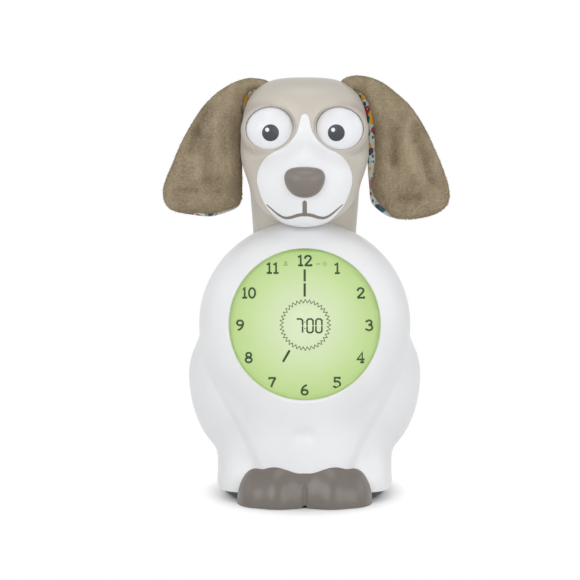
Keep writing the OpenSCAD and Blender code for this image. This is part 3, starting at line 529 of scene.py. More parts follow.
def lit_display():
    """A backlit disc, palest in the middle, with painted shade under its upper rim and a darker
    edge ring that is partly painted shade of the recess.
    """
    f = Finish("lit_display", (205, 228, 165), 0.5, Emission_Strength=0.42)
    edge, painted_shade_from = 34.8 * MM, 32.6 * MM
    middle = DIAL @ Vector((0, 0, 25))
    here = f.placed(f.coords, Location=(0, -middle.y * MM, -middle.z * MM))
    share = f.node("ShaderNodeMath", f.distance(here), edge, operation="DIVIDE").outputs[0]
    # Pale in the middle to darker at the edge; the darkest outer stops are partly painted shade
    # where the recess rim shades the display.
    tone = f.ramp(share, [(0.0, srgb(218, 232, 196)), (0.45, srgb(206, 224, 176)),
                          (0.72, srgb(195, 218, 153)), (0.9, srgb(187, 213, 140)),
                          (0.97, srgb(184, 212, 137)), (0.995, srgb(172, 202, 122))])
    # Painted shade: the display darkens toward its upper rim, as if shaded by the bezel above it.
    height = f.node("ShaderNodeSeparateXYZ", here).outputs["Z"]
    shade = f.ramp(f.between(height, painted_shade_from, edge),
                   [(0.0, (1, 1, 1, 1)), (1.0, (0.66, 0.78, 0.4, 1))])
    glow_with_painted_shade = f.mixed(tone, shade, 1.0, True, "MULTIPLY")
    dim = f.mixed(glow_with_painted_shade, (0.5, 0.5, 0.5, 1), 1.0, True, "MULTIPLY")
    return f.shade(Base_Color=dim, Emission_Color=glow_with_painted_shade).material


def plush():
    """Short brushed pile: fine flecks in rows, with painted shade in the folds and painted light
    on the ridges.
    """
    f = Finish("taupe_plush", (146, 132, 108), 0.95, Sheen_Weight=0.3, Sheen_Roughness=0.5,
               Sheen_Tint=srgb(206, 194, 170), Specular_IOR_Level=0.1)
    broad = f.noise(9, 3, (1.2, 1, 0.6))
    fine = f.mixed(f.noise(0.75, 2, (0.5, 1, 1.7)), f.noise(0.45, 2, (1.1, 1, 0.9)), 0.45)
    tone = f.mixed(broad, fine, 0.6)
    # Painted shade in the folds and painted light on the ridges: the ears' fold depths darken and
    # lighten the flecked tone.
    fold_depths = f.node("ShaderNodeAttribute", attribute_name="painted_fold_shade").outputs["Fac"]
    down = f.node("ShaderNodeMath", fold_depths, -0.12, tone, operation="MULTIPLY_ADD").outputs[0]
    f.shade(Base_Color=f.ramp(down, [(0.28, srgb(122, 109, 87)), (0.5, srgb(162, 147, 122)),
                                     (0.7, srgb(191, 176, 151))]))
    return f.bump(broad, 0.2, 0.8).bump(fine, 0.7, 0.3).material


PALE, OCHRE, TEAL, BERRY, SLATE, PINK, SAGE = (
    (214, 220, 214), (232, 172, 24), (22, 98, 108), (176, 40, 74), (66, 74, 96), (232, 156, 164),
    (128, 170, 166))
# Layers of the ears' print: cell size, petal size as a share of it, and colours.
PETALS = [(4.6, 0.50, (OCHRE, TEAL, BERRY, PALE, SLATE, PINK)),
          (2.3, 0.36, (TEAL, SLATE, BERRY, OCHRE, SAGE, PALE))]


def printed_cotton():
    """Woven cotton with small scattered petals in six colours."""
    f = Finish("petal_print", (226, 226, 220), 0.85, Sheen_Weight=0.1)
    bend = f.node("ShaderNodeTexNoise", Scale=1000 / 5.0, Detail=1.0, Vector=f.coords)
    bent = f.mixed(f.coords, bend.outputs["Color"], 0.0012, True, "LINEAR_LIGHT")
    here = f.placed(bent, Scale=(1.15, 0.5, 0.85))
    print_colour = srgb(*PALE)
    for size, petal, colours in PETALS:
        cells = f.node("ShaderNodeTexVoronoi", Scale=1000 / size, Randomness=0.95, Vector=here)
        pick = f.node("ShaderNodeSeparateColor", cells.outputs["Color"]).outputs["Red"]
        tones = f.ramp(pick, [(k / 6, srgb(*c)) for k, c in enumerate(colours)], "CONSTANT")
        mask = f.between(cells.outputs["Distance"], petal - 0.05, petal + 0.02, 1.0, 0.0)
        print_colour = f.mixed(print_colour, tones, mask, True)
    weave = f.node("ShaderNodeTexChecker", Scale=1000 / 0.35, Vector=f.coords).outputs["Fac"]
    f.shade(Base_Color=print_colour).bump(weave, 0.25, 0.08)
    return f.bump(f.noise(3, 3), 0.3, 0.4).material


# Moulded finishes by slot or use: name, colour, roughness, grain and clear coat.
MOULDED = {
    "shell_white": ("satin_white_shell", (234, 235, 236), 0.42, 0.4, 0.08),
    # A slightly lighter copy of the shell white for the muzzle: painted light.
    "lit_muzzle_white": ("satin_white_muzzle", (236, 237, 239), 0.42, 0.4, 0.08),
    # A darker copy of the taupe for the paws: painted shade.
    "shaded_taupe_shoe": ("satin_taupe_shoe", (108, 100, 93), 0.4, 0.4, 0.25),
    "head_greige": ("satin_greige_head", (197, 190, 179), 0.42, 0.4, 0.1),
    "taupe_plastic": ("satin_taupe", (124, 116, 108), 0.42, 0.35, 0.1),
    "base_grey": ("grey_base", (70, 70, 72), 0.5),
    "foot_rubber": ("foot_rubber", (44, 44, 45), 0.8, 0.25),
    "frame_white": ("frame_plastic", (228, 228, 222), 0.5),
    "gear_cream": ("gear_plastic", (228, 222, 204), 0.45),
    "component_black": ("component_black", (38, 38, 40), 0.5),
    "dark_grey": ("dark_grey_plastic", (84, 84, 88), 0.48),
    "button_white": ("button_plastic", (228, 230, 230), 0.4),
    "wire_red": ("wire_jacket", (186, 46, 40), 0.45),
    "ribbon_grey": ("ribbon_film", (190, 190, 190), 0.4),
    "contact_pink": ("contact_rubber", (226, 150, 160), 0.7),
    "led_yellow": ("led_lens", (240, 224, 150), 0.25, 0.35, 0.3),
    "cell_blue": ("cell_wrap", (52, 90, 150), 0.3, 0.35, 0.4),
    "eye_white": ("eye_white", (236, 237, 240), 0.38, 0.8, 0.06),
    "pupil_grey": ("pupil_grey", (53, 59, 63), 0.4, 0.8, 0.06),
    "lash_brown": ("lash_brown", (92, 82, 76), 0.4),
    "display_ink": ("display_ink", (36, 62, 10), 0.5),
    "faint_ink": ("faint_ink", (110, 142, 82), 0.5),
    "icon_grey": ("icon_grey", (104, 108, 110), 0.5),
}
FINISH = {use: moulded(*made) for use, made in MOULDED.items()} | {
    "steel": metal("plated_steel", (190, 190, 194), 0.3),
    "switch_metal": metal("stamped_metal", (196, 196, 198), 0.35),
    "pinion_brass": metal("turned_brass", (206, 178, 106), 0.28, (8, 1, 1)),
    "board_green": circuit_board(),
    "light_guide": milky_guide(),
    "clear_lens": clear_lens(),
    "lcd_green": lit_display(),
    "ear_plush": plush(),
    "ear_print": printed_cotton(),
}


def finish_piece(obj, name, finish, node=None, body="case", sharp=32):
    """Names, shades and dresses a piece, puts it on its body and in its node's place."""
    obj.name = obj.data.name = name
    obj.data.shade_smooth()
    obj.data.set_sharp_from_angle(angle=math.radians(sharp))
    obj.data.materials.clear()
    obj.data.materials.append(FINISH[finish])
    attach(obj, body)
    if node:
        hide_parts(node)


# ---- moulded skins


def socket_cutters(radius, off=0.0):
    """Balls of room round both eyes, their middles moved up and outward."""
    profile = [(radius * math.sin(t), radius * math.cos(t)) for t in np.linspace(0, math.pi, 49)]
    return [lathe("cutter", profile, Matrix.Translation((x + math.copysign(off, x), y, z + off)))
            for x, y, z in EYES]


def eye_openings():
    """Egg-shaped openings, outer ends tipped down, their lips rolled outward."""
    # Each ring of a lip: its distance from the eye's middle, and how much wider it is.
    lip = ((12.2, 0), (12.6, 0.05), (12.95, 0.2), (13.3, 0.5), (13.8, 0.9), (14.6, 1.3),
           (16.0, 1.6))
    out, n = [], 96
    for x, y, z in EYES:
        ring = np.array(oval(11.0, 9.7, (0, 1.7), -12 if x > 0 else 12, n))
        wide = np.linalg.norm(ring, axis=1)
        verts = [(x + a, y, z + b) for a, b in ring]
        for ball, grow in lip:
            share = (wide + grow) / wide
            deep = np.sqrt(np.maximum(ball**2 - (wide + grow) ** 2, 4))
            verts += [(x + a * k, y - d, z + b * k) for (a, b), k, d in zip(ring, share, deep)]
        verts += [(x + a * k, -60, z + b * k) for (a, b), k in zip(ring, share)]
        rows = len(verts) // n
        ends = [tuple(range(n)), tuple(range((rows - 1) * n, rows * n))]
        out.append(new_object("cutter", verts, bands(rows, n) + ends))
    return out


def blaze(grow):
    """A column over the front view of the white blaze and muzzle."""
    half = [(0, 181.8), (1.5, 180.9), (2.3, 178.5), (2.9, 175.5), (4.2, 172.2), (6.6, 169.2),
            (10, 166.4), (14, 164.3), (17.6, 161.8), (20.3, 158.4), (21.8, 154.6), (22.1, 150.6),
            (21.3, 147.2), (19.9, 143.2), (18.2, 139.8), (16.0, 136.9), (13.6, 134.3),
            (11.2, 132.0), (9.6, 129.8), (8.8, 127.2)]
    ring = np.array(both_sides(half) + [(8.6, 124), (-8.6, 124)])
    ring = smooth_ring(ring, 6, fixed=[len(ring) - 1, len(ring) - 2])
    if grow:
        t = np.roll(ring, -1, 0) - np.roll(ring, 1, 0)
        ring = ring + np.stack([-t[:, 1], t[:, 0]], 1) / np.linalg.norm(t, axis=1)[:, None] * grow
    return prism([tuple(p) for p in ring], 15, 60, FORWARD)


def dial_cutter():
    """The display's opening, with a small radius where it meets the front."""
    r, flare, top = DIAL_R, 0.9, 28.37
    arc = [(r + flare - flare * math.cos(t), top - flare + flare * math.sin(t))
           for t in np.linspace(0, math.pi / 2, 9)]
    outside = [(r + flare + 0.6, top + 0.15), (r + 4, top + 12), (0, top + 12)]
    return lathe("cutter", [(0, 0), (r, 0)] + arc + outside, DIAL, 256)


def build_body():
    whole = blob("whole_body", body_field, BODY_C, 0, 230, 380)
    inner = blob("inner_body", body_field, BODY_C, -WALL, 70, 110)
    neck_hole = prism(oval(25.5, 18.0, (0, NECK_Y)), 90, 140)
    shell = cut(whole, [inner, box((-80, -80, -80), (80, 80, SHELL_BOTTOM)), neck_hole])
    front = cut(copy_of(shell, "front"), [slab(BODY_SEAM, 90, 200), dial_cutter()])
    door_middle = (0, -40.65)
    door_hole = prism(rounded(50.4, 64.7, 5, door_middle), 20, 80, REARWARD)
    door_room = prism(rounded(49.6, 63.9, 4.8, door_middle), 20, 80, REARWARD)
    cutters = [slab(-90, BODY_SEAM + SEAM_LAP, 200), door_hole,
               prism(rounded(45.4, 23.4, 3), -2.2, 40, PANEL),
               prism(rounded(9.2, 4.2, 2, (33, -50)), 24, 60, REARWARD)]
    cutters += [prism(oval(2.9, 2.9, (s * x, -z), n=40), 9, 60, REARWARD)
                for x, z in BODY_SCREWS for s in (-1, 1)]
    rear = cut(copy_of(shell, "rear"), cutters)
    door = cut(shell, [door_room], keep=True)
    grips = [prism(rounded(16 - 3 * k, 1, 0.45, (0, -(66 - 2.4 * k))), 43.8, 60, REARWARD)
             for k in range(4)]
    shaft, sink, floor = 1.8, 3.4, 35.8
    screw_hole = lathe("cutter", [(0, -20), (shaft, -20), (shaft, floor), (sink, floor),
                                  (sink, 60), (0, 60)],
                       Matrix.Translation((0, 0, DOOR_SCREW_Z)) @ REARWARD, 48)
    return front, rear, cut(door, grips + [screw_hole])


def ear_slots():
    """The slots in the crown's shoulders in which the ear roots turn."""
    x, _, z = EAR_ROOT
    out = []
    for s in (-1, 1):
        turns = np.radians(range(8, 119, 10))
        fan = [(s * x, z)] + [(s * (x + 18 * math.cos(a)), z + 18 * math.sin(a)) for a in turns]
        out += [prism(fan, *EAR_SLOT, FORWARD),
                prism(oval(5.4, 5.4, (s * x, z), n=40), *EAR_SLOT, FORWARD)]
    return out


def build_head():
    whole = blob("whole_head", head_field, HEAD_C, 0, 250, 360)
    inner = cut(blob("inner_head", head_field, HEAD_C, -WALL, 70, 100), socket_cutters(17))
    shell = cut(whole, [inner, box((-60, -60, 60), (60, 60, HEAD_BOTTOM))]
                + socket_cutters(EYE_R + 0.32, 0.2) + eye_openings())
    front_room = slab(HEAD_SEAM, 90, 260)
    chin_room = cut(blob("chin_room", body_field, BODY_C, 0.4, 90, 140),
                    [box((-90, -6.9, 0), (90, 90, 200))])
    muzzle = cut(copy_of(shell, "muzzle"), [blaze(0)], keep=True)
    muzzle = without_doubled_faces(cut(muzzle, [copy_of(chin_room, "cutter")]))
    front = cut(copy_of(shell, "front"), [front_room, chin_room, blaze(0.08)] + ear_slots())
    rear_cuts = [slab(-90, HEAD_SEAM + SEAM_LAP, 260)] + ear_slots()
    rear_cuts += [prism(oval(2.3, 2.3, (x, -z), n=36), 5.5, 60, REARWARD) for x, z in HEAD_SCREWS]
    return front, cut(shell, rear_cuts), muzzle


def build_paws():
    paws = blob("paws", paw_field, np.array([0, -27, 2.0]), 0, 150, 260)
    body = blob("cutter", body_field, BODY_C, 0.05, 160, 260)
    notch = prism(oval(1.3, 1.3, n=32), -60, -36, REARWARD)
    return cut(paws, [box((-60, -60, -30), (60, 60, 0.3)), box((-60, -20, -30), (60, 60, 60)),
                      body, notch])


body_front, body_rear, door = build_body()
finish_piece(body_front, "body_front_skin", "shell_white", "body_front")
finish_piece(body_rear, "body_rear_skin", "shell_white", "body_rear")
finish_piece(door, "battery_door_skin", "shell_white", "battery_door", "door")
head_front, head_rear, muzzle = build_head()
finish_piece(head_front, "head_front_skin", "head_greige", "head_front")
finish_piece(head_rear, "head_rear_skin", "head_greige", "head_rear")
finish_piece(muzzle, "muzzle_skin", "lit_muzzle_white", "muzzle_cover")
finish_piece(build_paws(), "paws_skin", "shaded_taupe_shoe", "paws")


# ---- face


def line_on_face(path, widths, proud=0.12, deep=0.6):
    """A closed rounded inlay that follows a front-view path over the skin."""
    path, n, k = np.asarray(path, float), len(path), 9
    t = np.gradient(path, axis=0)
    t /= np.linalg.norm(t, axis=1)[:, None]
    side = np.stack([-t[:, 1], t[:, 0]], 1)
    verts = []
    for i in range(n):
        across = np.linspace(-1, 1, k)
        xz = path[i] + side[i] * (across * widths[i] / 2)[:, None]
        y = surface_y(xz)
        crown = proud * np.sqrt(np.maximum(1 - across**2, 0))
        verts += [(x, yy - c, z) for (x, z), yy, c in zip(xz, y, crown)]
        verts += [(x, yy + deep, z) for (x, z), yy in zip(xz[::-1], y[::-1])]
    m = 2 * k
    ends = [tuple(range(m - 1, -1, -1)), tuple((n - 1) * m + j for j in range(m))]
    return new_object("line", verts, bands(n, m) + ends)


def build_mouth():
    """The lips' smile and the stem up to the nose."""
    both = np.array(both_sides([
        (0, 136.1), (1.6, 136.1), (3.6, 135.7), (5.6, 134.9), (7.4, 134.4), (9.0, 134.3),
        (10.8, 134.9), (13, 136.4), (15.2, 138.3), (17.6, 140.3)]))
    t = np.linspace(0, len(both) - 1, 91)
    path = np.stack([np.interp(t, range(len(both)), axis) for axis in both.T], 1)
    for _ in range(6):
        path[1:-1] = (path[:-2] + 2 * path[1:-1] + path[2:]) / 4
    lips = line_on_face(path, 0.5 + 1.1 * (1 - np.abs(np.linspace(-1, 1, 91)) ** 2.2))
    up = np.linspace(0, 1, 24)
    round_top = np.sqrt(np.clip((1 - up) / 0.13, 0.02, 1))
    spread_foot = 2.1 + 2.2 * np.clip(1 - up / 0.16, 0, 1) ** 2
    stem = line_on_face(np.stack([np.zeros(24), 136.2 + 6.6 * up], 1), spread_foot * round_top)
    return joined("mouth_inlay", [lips, stem])


def build_nose():
    """A rounded upside-down triangle, domed over the muzzle."""
    half = [(0, 158.2), (4.4, 157.9), (7.8, 156.7), (9.35, 154.1), (9.1, 151.0), (7.7, 147.9),
            (5.2, 145.4), (1.9, 144.2)]
    ring = smooth_ring(np.array(half + [(-x, z) for x, z in half[:0:-1]]), 6)
    centre, n, steps, proud = np.array([0, 151.9]), len(ring), 14, 5.6
    middle = surface_y([centre])[0] - proud
    verts = []
    for a in [math.pi / 2 * k / steps for k in range(steps)]:
        xz = centre + (ring - centre) * math.cos(a)
        rise = math.sin(a) ** 0.9
        depth = surface_y(xz) * (1 - rise) + middle * rise + 0.25 * (1 - rise)
        verts += [(x, d, z) for (x, z), d in zip(xz, depth)]
    verts.append((centre[0], middle, centre[1]))
    base = len(verts)
    foot = ring * 0.98 + centre * 0.02
    verts += [(x, d + 1.5, z) for (x, z), d in zip(foot, surface_y(ring))]
    last = (steps - 1) * n
    faces = bands(steps, n)
    faces += [(last + i, last + (i + 1) % n, steps * n) for i in range(n)]
    faces += [(i, base + i, base + (i + 1) % n, (i + 1) % n) for i in range(n)]
    return new_object("nose_skin", verts, faces + [tuple(range(base, base + n))])


def build_glints():
    """Small white dots printed on the pupils."""
    dots, top = [], EYE_R + 0.08
    profile = [(0, top - 0.5), (0.95, top - 0.56), (0.95, top - 0.02), (0.5, top + 0.02),
               (0, top + 0.04)]
    for x, y, z in EYES:
        pupil = 0.55 if x < 0 else -1.75
        aim = Vector((pupil - 1.45, -11.9, 1.25)).normalized()
        turn = aim.to_track_quat("Z", "Y").to_matrix().to_4x4()
        dots.append(lathe("dot", profile, Matrix.Translation((x, y, z)) @ turn, 32))
    return joined("eye_glints", dots)


finish_piece(build_glints(), "eye_glints", "eye_white", body="eyes")
finish_piece(build_mouth(), "mouth_inlay", "taupe_plastic", "mouth_line", sharp=60)
finish_piece(build_nose(), "nose_skin", "taupe_plastic", "nose", sharp=70)


# ---- display print, in layers of (low, high, frame)

PRINT = (25.31, 25.36, DIAL)


def stroke(a, b, width, layer=PRINT):
    """A bar with square ends between two points."""
    a, b = np.array(a, float), np.array(b, float)
    t = (b - a) / np.linalg.norm(b - a)
    n = np.array([-t[1], t[0]]) * width / 2
    return prism([tuple(a - n), tuple(b - n), tuple(b + n), tuple(a + n)], *layer)


def inked(path, width, layer=PRINT, closed=False):
    """A flat raised line of even width along a path."""
    path, n = np.asarray(path, float), len(path)
    low, high, matrix = layer
    if closed:
        a, b = path - np.roll(path, 1, 0), np.roll(path, -1, 0) - path
    else:
        b = np.vstack([np.diff(path, axis=0), path[-1:] - path[-2:-1]])
        a = np.vstack([b[:1], np.diff(path, axis=0)])
    a, b = (v / np.linalg.norm(v, axis=1)[:, None] for v in (a, b))
    t = (a + b) / np.linalg.norm(a + b, axis=1)[:, None]
    half = width / 2 / np.maximum((t * a).sum(1), 0.6)
    side = np.stack([-t[:, 1], t[:, 0]], 1) * half[:, None]
    rows = [(path + side, low), (path - side, low), (path - side, high), (path + side, high)]
    verts = [(*line[i], z) for i in range(n) for line, z in rows]
    ends = [] if closed else [(3, 2, 1, 0), tuple(4 * n - 4 + j for j in range(4))]
    return new_object("ink", verts, bands(n, 4, closed) + ends, matrix)


BOWL = oval(0.235, 0.215, (0.32, 0.285), n=28)
TOP_BOWL = oval(0.19, 0.195, (0.32, 0.735), n=28)
SIX_BACK = [(0.50, 0.93), (0.32, 0.85), (0.16, 0.66), (0.09, 0.42), (0.085, 0.28)]
# Each numeral: smooth strokes, straight strokes and closed strokes, in a box one unit high.
NUMERALS = {
    "0": ([], [], [oval(0.24, 0.43, (0.32, 0.5), n=36)]),
    "1": ([], [[(0.06, 0.80), (0.27, 0.93), (0.27, 0.07)], [(0.07, 0.07), (0.47, 0.07)]], []),
    "2": ([[(0.10, 0.70), (0.13, 0.85), (0.31, 0.94), (0.50, 0.85), (0.53, 0.69), (0.42, 0.48),
            (0.10, 0.09)]],
          [[(0.05, 0.07), (0.58, 0.07), (0.58, 0.20)], [(0.10, 0.66), (0.10, 0.84)]], []),
    "3": ([[(0.10, 0.83), (0.28, 0.94), (0.47, 0.84), (0.47, 0.63), (0.26, 0.54)],
           [(0.26, 0.54), (0.48, 0.47), (0.55, 0.28), (0.44, 0.09), (0.24, 0.06), (0.07, 0.15)]],
          [[(0.10, 0.76), (0.10, 0.93)], [(0.07, 0.07), (0.07, 0.22)]], []),
    "4": ([], [[(0.44, 0.05), (0.44, 0.94), (0.06, 0.33), (0.62, 0.33)],
               [(0.28, 0.07), (0.58, 0.07)]], []),
    "5": ([[(0.13, 0.55), (0.30, 0.61), (0.49, 0.53), (0.56, 0.33), (0.46, 0.12), (0.26, 0.06),
            (0.08, 0.15)]],
          [[(0.52, 0.80), (0.52, 0.93), (0.15, 0.93), (0.13, 0.53)],
           [(0.08, 0.08), (0.08, 0.22)]], []),
    "6": ([SIX_BACK], [], [BOWL]),
    "7": ([[(0.56, 0.93), (0.40, 0.62), (0.29, 0.32), (0.23, 0.04)]],
          [[(0.08, 0.79), (0.08, 0.93), (0.58, 0.93)]], []),
    "8": ([], [], [BOWL, TOP_BOWL]),
    "9": ([[(0.64 - x, 1 - y) for x, y in SIX_BACK]], [], [[(0.64 - x, 1 - y) for x, y in BOWL]]),
}


def numeral(text, centre, height=5.15, width=0.91):
    """Slab-footed figures of the hour, centred on a point."""
    steps = [0.60 if c == "1" else 0.78 for c in text]
    x = centre[0] - (sum(steps) - 0.04) * height / 2
    out = []
    for c, step in zip(text, steps):
        place = (x, centre[1] - height / 2)
        for k, (strokes, shape) in enumerate(zip(NUMERALS[c], (smooth_path, np.array, np.array))):
            out += [inked(shape(points) * (height * 1.16, height) + place, width, closed=k == 2)
                    for points in strokes]
        x += step * height
    return out


def seven_segment(digit, x, y=-3.85, w=2.75, h=6.3, width=0.76):
    """The upper and lower strokes of one segment digit, its lower-left corner at x, y."""
    r, mid, gap = 0.7, y + h / 2, 0.16
    upper = [(x, mid + gap), (x, y + h - r), (x + r, y + h), (x + w - r, y + h),
             (x + w, y + h - r), (x + w, mid + gap)]
    lower = [(a, 2 * mid - b) for a, b in upper]
    if digit == "7":
        upper, lower = [(x, y + h)] + upper[3:], [(x + w, mid - gap), (x + w, y)]
    return [inked(path, width) for path in (upper, lower)]


def build_dial_print():
    parts, ring, hand = [], 29.9, 1.05
    lift = {11: 0.5, 1: 0.4, 5: -0.6, 7: -0.7}
    for hour in range(1, 13):
        a = math.radians(90 - 30 * hour)
        height = ring * math.sin(a) - 0.45 + lift.get(hour, 0)
        parts += numeral(str(hour), (ring * math.cos(a), height))
    parts += [stroke((0, 12.8), (0, 19.0), hand), stroke((0, 19.8), (0, 25.4), hand)]
    seven = math.radians(90 - 30 * 7)
    parts.append(stroke(*[(r * math.cos(seven), r * math.sin(seven)) for r in (13.9, 20.1)], hand))
    teeth = 36
    turns = [((11.8, 10.2)[i % 2], math.pi * i / teeth) for i in range(2 * teeth)]
    zigzag = [(r * math.cos(t) + 0.3, r * math.sin(t) - 0.3) for r, t in turns]
    parts.append(inked(zigzag, 0.36, closed=True))
    for digit, x in (("7", -3.7), ("0", 1.1), ("0", 5.2)):
        parts += seven_segment(digit, x)
    parts += [stroke((0.1, y), (0.1, y + 0.5), 0.5) for y in (-2.2, 0.8)]
    return joined("dial_print", parts)


def build_faint_print():
    """Symbols of the switched-off functions: a bell, a dash and a ring."""
    bell = [(-9.6, 27.3), (-8.0, 27.3), (-8.4, 28.0), (-8.5, 28.8), (-8.8, 29.1), (-9.1, 28.8),
            (-9.2, 28.0)]
    return joined("dial_faint_print", [
        inked(bell, 0.32, closed=True), stroke((5.5, 27.9), (7.0, 27.9), 0.4),
        inked(oval(0.7, 0.7, (9.2, 27.9), n=20), 0.25, closed=True)])


def build_lens():
    """The display's clear cover."""
    return lathe("lens", [(0, 25.5), (34.55, 25.5), (34.57, 27), (0, 27)], DIAL, 192)


def build_display_rim():
    """The lit wall of the lens that closes the display's edge."""
    inside, outside, front = 32.95, 34.98, 26.97
    return lathe("rim", [(inside, 23.5), (outside, 23.5), (outside, front), (34.62, front),
                         (34.6, 25.4), (inside, 25.4)], DIAL, 192)


finish_piece(build_dial_print(), "dial_print", "display_ink")
finish_piece(build_faint_print(), "dial_faint_print", "faint_ink")
finish_piece(build_lens(), "dial_lens_skin", "clear_lens", "dial_lens")
finish_piece(build_display_rim(), "display_rim", "lcd_green")


def build_icon(name):
    """A push button's raised sign, standing in the cap's dish."""
    x, y = BUTTONS[name]
    layer = (1.2, 1.66, PANEL @ Matrix.Translation((x, y, 0)))

    def bar(a, b, width):
        return stroke(a, b, width, layer)

    def loop(path, width=0.3):
        return inked(path, width, layer, True)

    if name == "clock":
        parts = [loop(oval(1.5, 1.5, n=48), 0.32), bar((0, -0.15), (0, 0.95), 0.36),
                 bar((-0.18, -0.02), (-0.8, -0.02), 0.3)]
    elif name == "alarm":
        half = [(1.45, -0.85), (1.08, -0.3), (0.98, 0.5), (0.62, 1.12), (0, 1.4)]
        parts = [loop(half + [(-a, b) for a, b in half[-2::-1]]),
                 prism(oval(0.36, 0.26, (0, -1.4), n=24), *layer)]
    elif name == "light":
        parts = [loop(oval(0.98, 0.98, (0, 0.45), n=36)), bar((-0.5, -0.95), (0.5, -0.95), 0.28),
                 bar((-0.36, -1.42), (0.36, -1.42), 0.28)]
    else:
        parts = [bar((-1.5, 0), (1.5, 0), 0.5)]
        if name == "plus":
            parts += [bar((0, 0.25), (0, 1.5), 0.5), bar((0, -0.25), (0, -1.5), 0.5)]
    return joined(f"{name}_icon", parts)


for name in BUTTONS:
    finish_piece(build_icon(name), f"{name}_icon", "icon_grey", body=f"{name}_button")


# ---- plush ears

# The ears' outlines in the front view, as the right ear's side, and their common inner edge.
EAR_INNER = [(29.9, 168.0), (29.5, 175.0), (28.5, 181.0), (26.8, 186.0), (24.2, 189.4),
             (21.4, 189.0), (17.2, 191.2)]
EAR_OUTLINES = {
    "left": [(17.5, 195.8), (25.7, 197.1), (32.5, 195.4), (38.8, 192.0), (44.0, 187.8),
             (48.8, 182.6), (54.0, 174.6), (58.8, 165.6), (62.2, 157.6), (65.2, 150.6),
             (66.8, 145.7), (67.1, 142.1), (66.3, 138.4), (63.8, 135.2), (58.6, 133.3),
             (51.1, 132.0), (45.0, 131.5), (39.6, 132.7), (34.4, 134.6), (31.2, 136.6),
             (30.0, 139.8), (29.7, 146.0), (29.7, 153.0), (29.6, 160.0)] + EAR_INNER,
    "right": [(17.2, 195.7), (20.8, 197.8), (25.9, 198.3), (32.3, 197.0), (37.9, 194.2),
              (43.9, 189.5), (49.2, 184.7), (54.2, 177.9), (58.1, 171.0), (61.3, 164.1),
              (64.0, 158.0), (66.2, 152.3), (68.0, 146.4), (68.6, 141.6), (67.5, 137.3),
              (64.1, 133.9), (58.7, 131.6), (51.0, 130.3), (44.1, 130.5), (39.4, 131.7),
              (35.4, 134.3), (32.2, 137.4), (31.0, 140.5), (30.5, 146.0), (29.9, 153.0),
              (29.7, 160.0)] + EAR_INNER,
}
# The plush's own inner edge, where the lining shows beside it, in place of the outline's
# points from the first number.
PLUSH_EDGES = {
    "left": (15, [(51.1, 132.9), (45.0, 132.7), (39.6, 133.6), (34.6, 135.2), (31.6, 136.8),
                  (29.9, 139.8), (29.5, 146.0), (29.5, 153.0), (29.4, 160.0), (29.6, 168.0),
                  (29.3, 175.0), (28.9, 180.0), (28.6, 184.6), (27.9, 187.6), (25.6, 191.0),
                  (21.8, 191.6), (17.2, 192.8)]),
    "right": (19, [(40.4, 132.1), (37.0, 135.3), (34.2, 138.0), (32.5, 141.0), (31.1, 145.6),
                   (31.5, 150.6), (32.2, 155.6), (32.5, 161.0), (32.3, 168.0), (31.9, 174.0),
                   (31.0, 179.6), (29.7, 184.6), (27.8, 188.4), (24.9, 191.0), (21.4, 190.6),
                   (17.2, 191.8)]),
}
# Valleys (and ridges, below zero) in the front of each ear: from, to, half-width and depth.
FOLDS = {
    "left": [((45.4, 182.8), (51.8, 171.9), 2.4, 1.7), ((51.8, 171.9), (53.9, 163.0), 2.4, 1.4),
             ((45.5, 168.7), (46.1, 148.8), 2.2, 0.9), ((32.4, 177.6), (33.0, 164.5), 1.6, 0.8),
             ((56.5, 157.7), (58.7, 150.9), 2.0, 0.7), ((58.7, 144.9), (39.8, 143.8), 1.2, 0.7),
             ((50.8, 147.2), (44.0, 148.3), 2.6, 0.7), ((40.7, 180.2), (39.8, 154.0), 2.4, -0.7),
             ((49.2, 159.3), (50.8, 153.0), 2.0, -0.5)],
    "right": [((42.7, 173.0), (41.8, 157.3), 2.2, 1.5), ((53.2, 175.1), (52.7, 168.3), 2.2, 1.3),
              ((55.3, 163.6), (60.1, 148.9), 2.0, 1.5), ((48.0, 166.2), (50.7, 154.2), 2.2, -1.0),
              ((46.0, 140.0), (53.4, 141.0), 2.6, 1.2), ((48.0, 175.1), (47.5, 170.9), 2.2, -0.5),
              ((49.1, 147.9), (53.3, 147.3), 2.4, 0.5)],
}


def lobe_grid(outline, step):
    """An even triangle net over a 2-D outline, and each point's distance from its edge."""
    ring = smooth_ring(np.array(outline), 8)
    length = np.concatenate([[0], np.cumsum(np.linalg.norm(np.roll(ring, -1, 0) - ring, axis=1))])
    n = int(length[-1] / step)
    closed = np.vstack([ring, ring[:1]])
    at = np.linspace(0, length[-1], n, endpoint=False)
    ring = np.stack([np.interp(at, length, closed[:, 0]), np.interp(at, length, closed[:, 1])], 1)
    low, high = ring.min(0), ring.max(0)
    xs = np.arange(low[0], high[0], step)
    zs = np.arange(low[1], high[1], step * 0.866)
    grid = np.array([(x + (step / 2 if j % 2 else 0), z) for j, z in enumerate(zs) for x in xs])
    (ax, az), (bx, bz) = ring.T[:, None], np.roll(ring, -1, 0).T[:, None]
    gx, gz = grid[:, :1], grid[:, 1:]
    crossing = ((az > gz) != (bz > gz)) & (gx < (bx - ax) * (gz - az) / (bz - az + 1e-12) + ax)
    near = np.linalg.norm(grid[:, None] - ring[None], axis=2).min(1)
    grid = grid[(crossing.sum(1) % 2 == 1) & (near > step * 0.55)]
    points = [Vector(p) for p in np.vstack([ring, grid])]
    edges = [(i, (i + 1) % n) for i in range(n)]
    verts, _, faces, *_ = delaunay_2d_cdt(points, edges, [], 1, 1e-5)
    verts = np.array([tuple(v) for v in verts])
    edge = np.linalg.norm(verts[:, None] - ring[None], axis=2).min(1)
    return verts, [tuple(f) for f in faces], edge


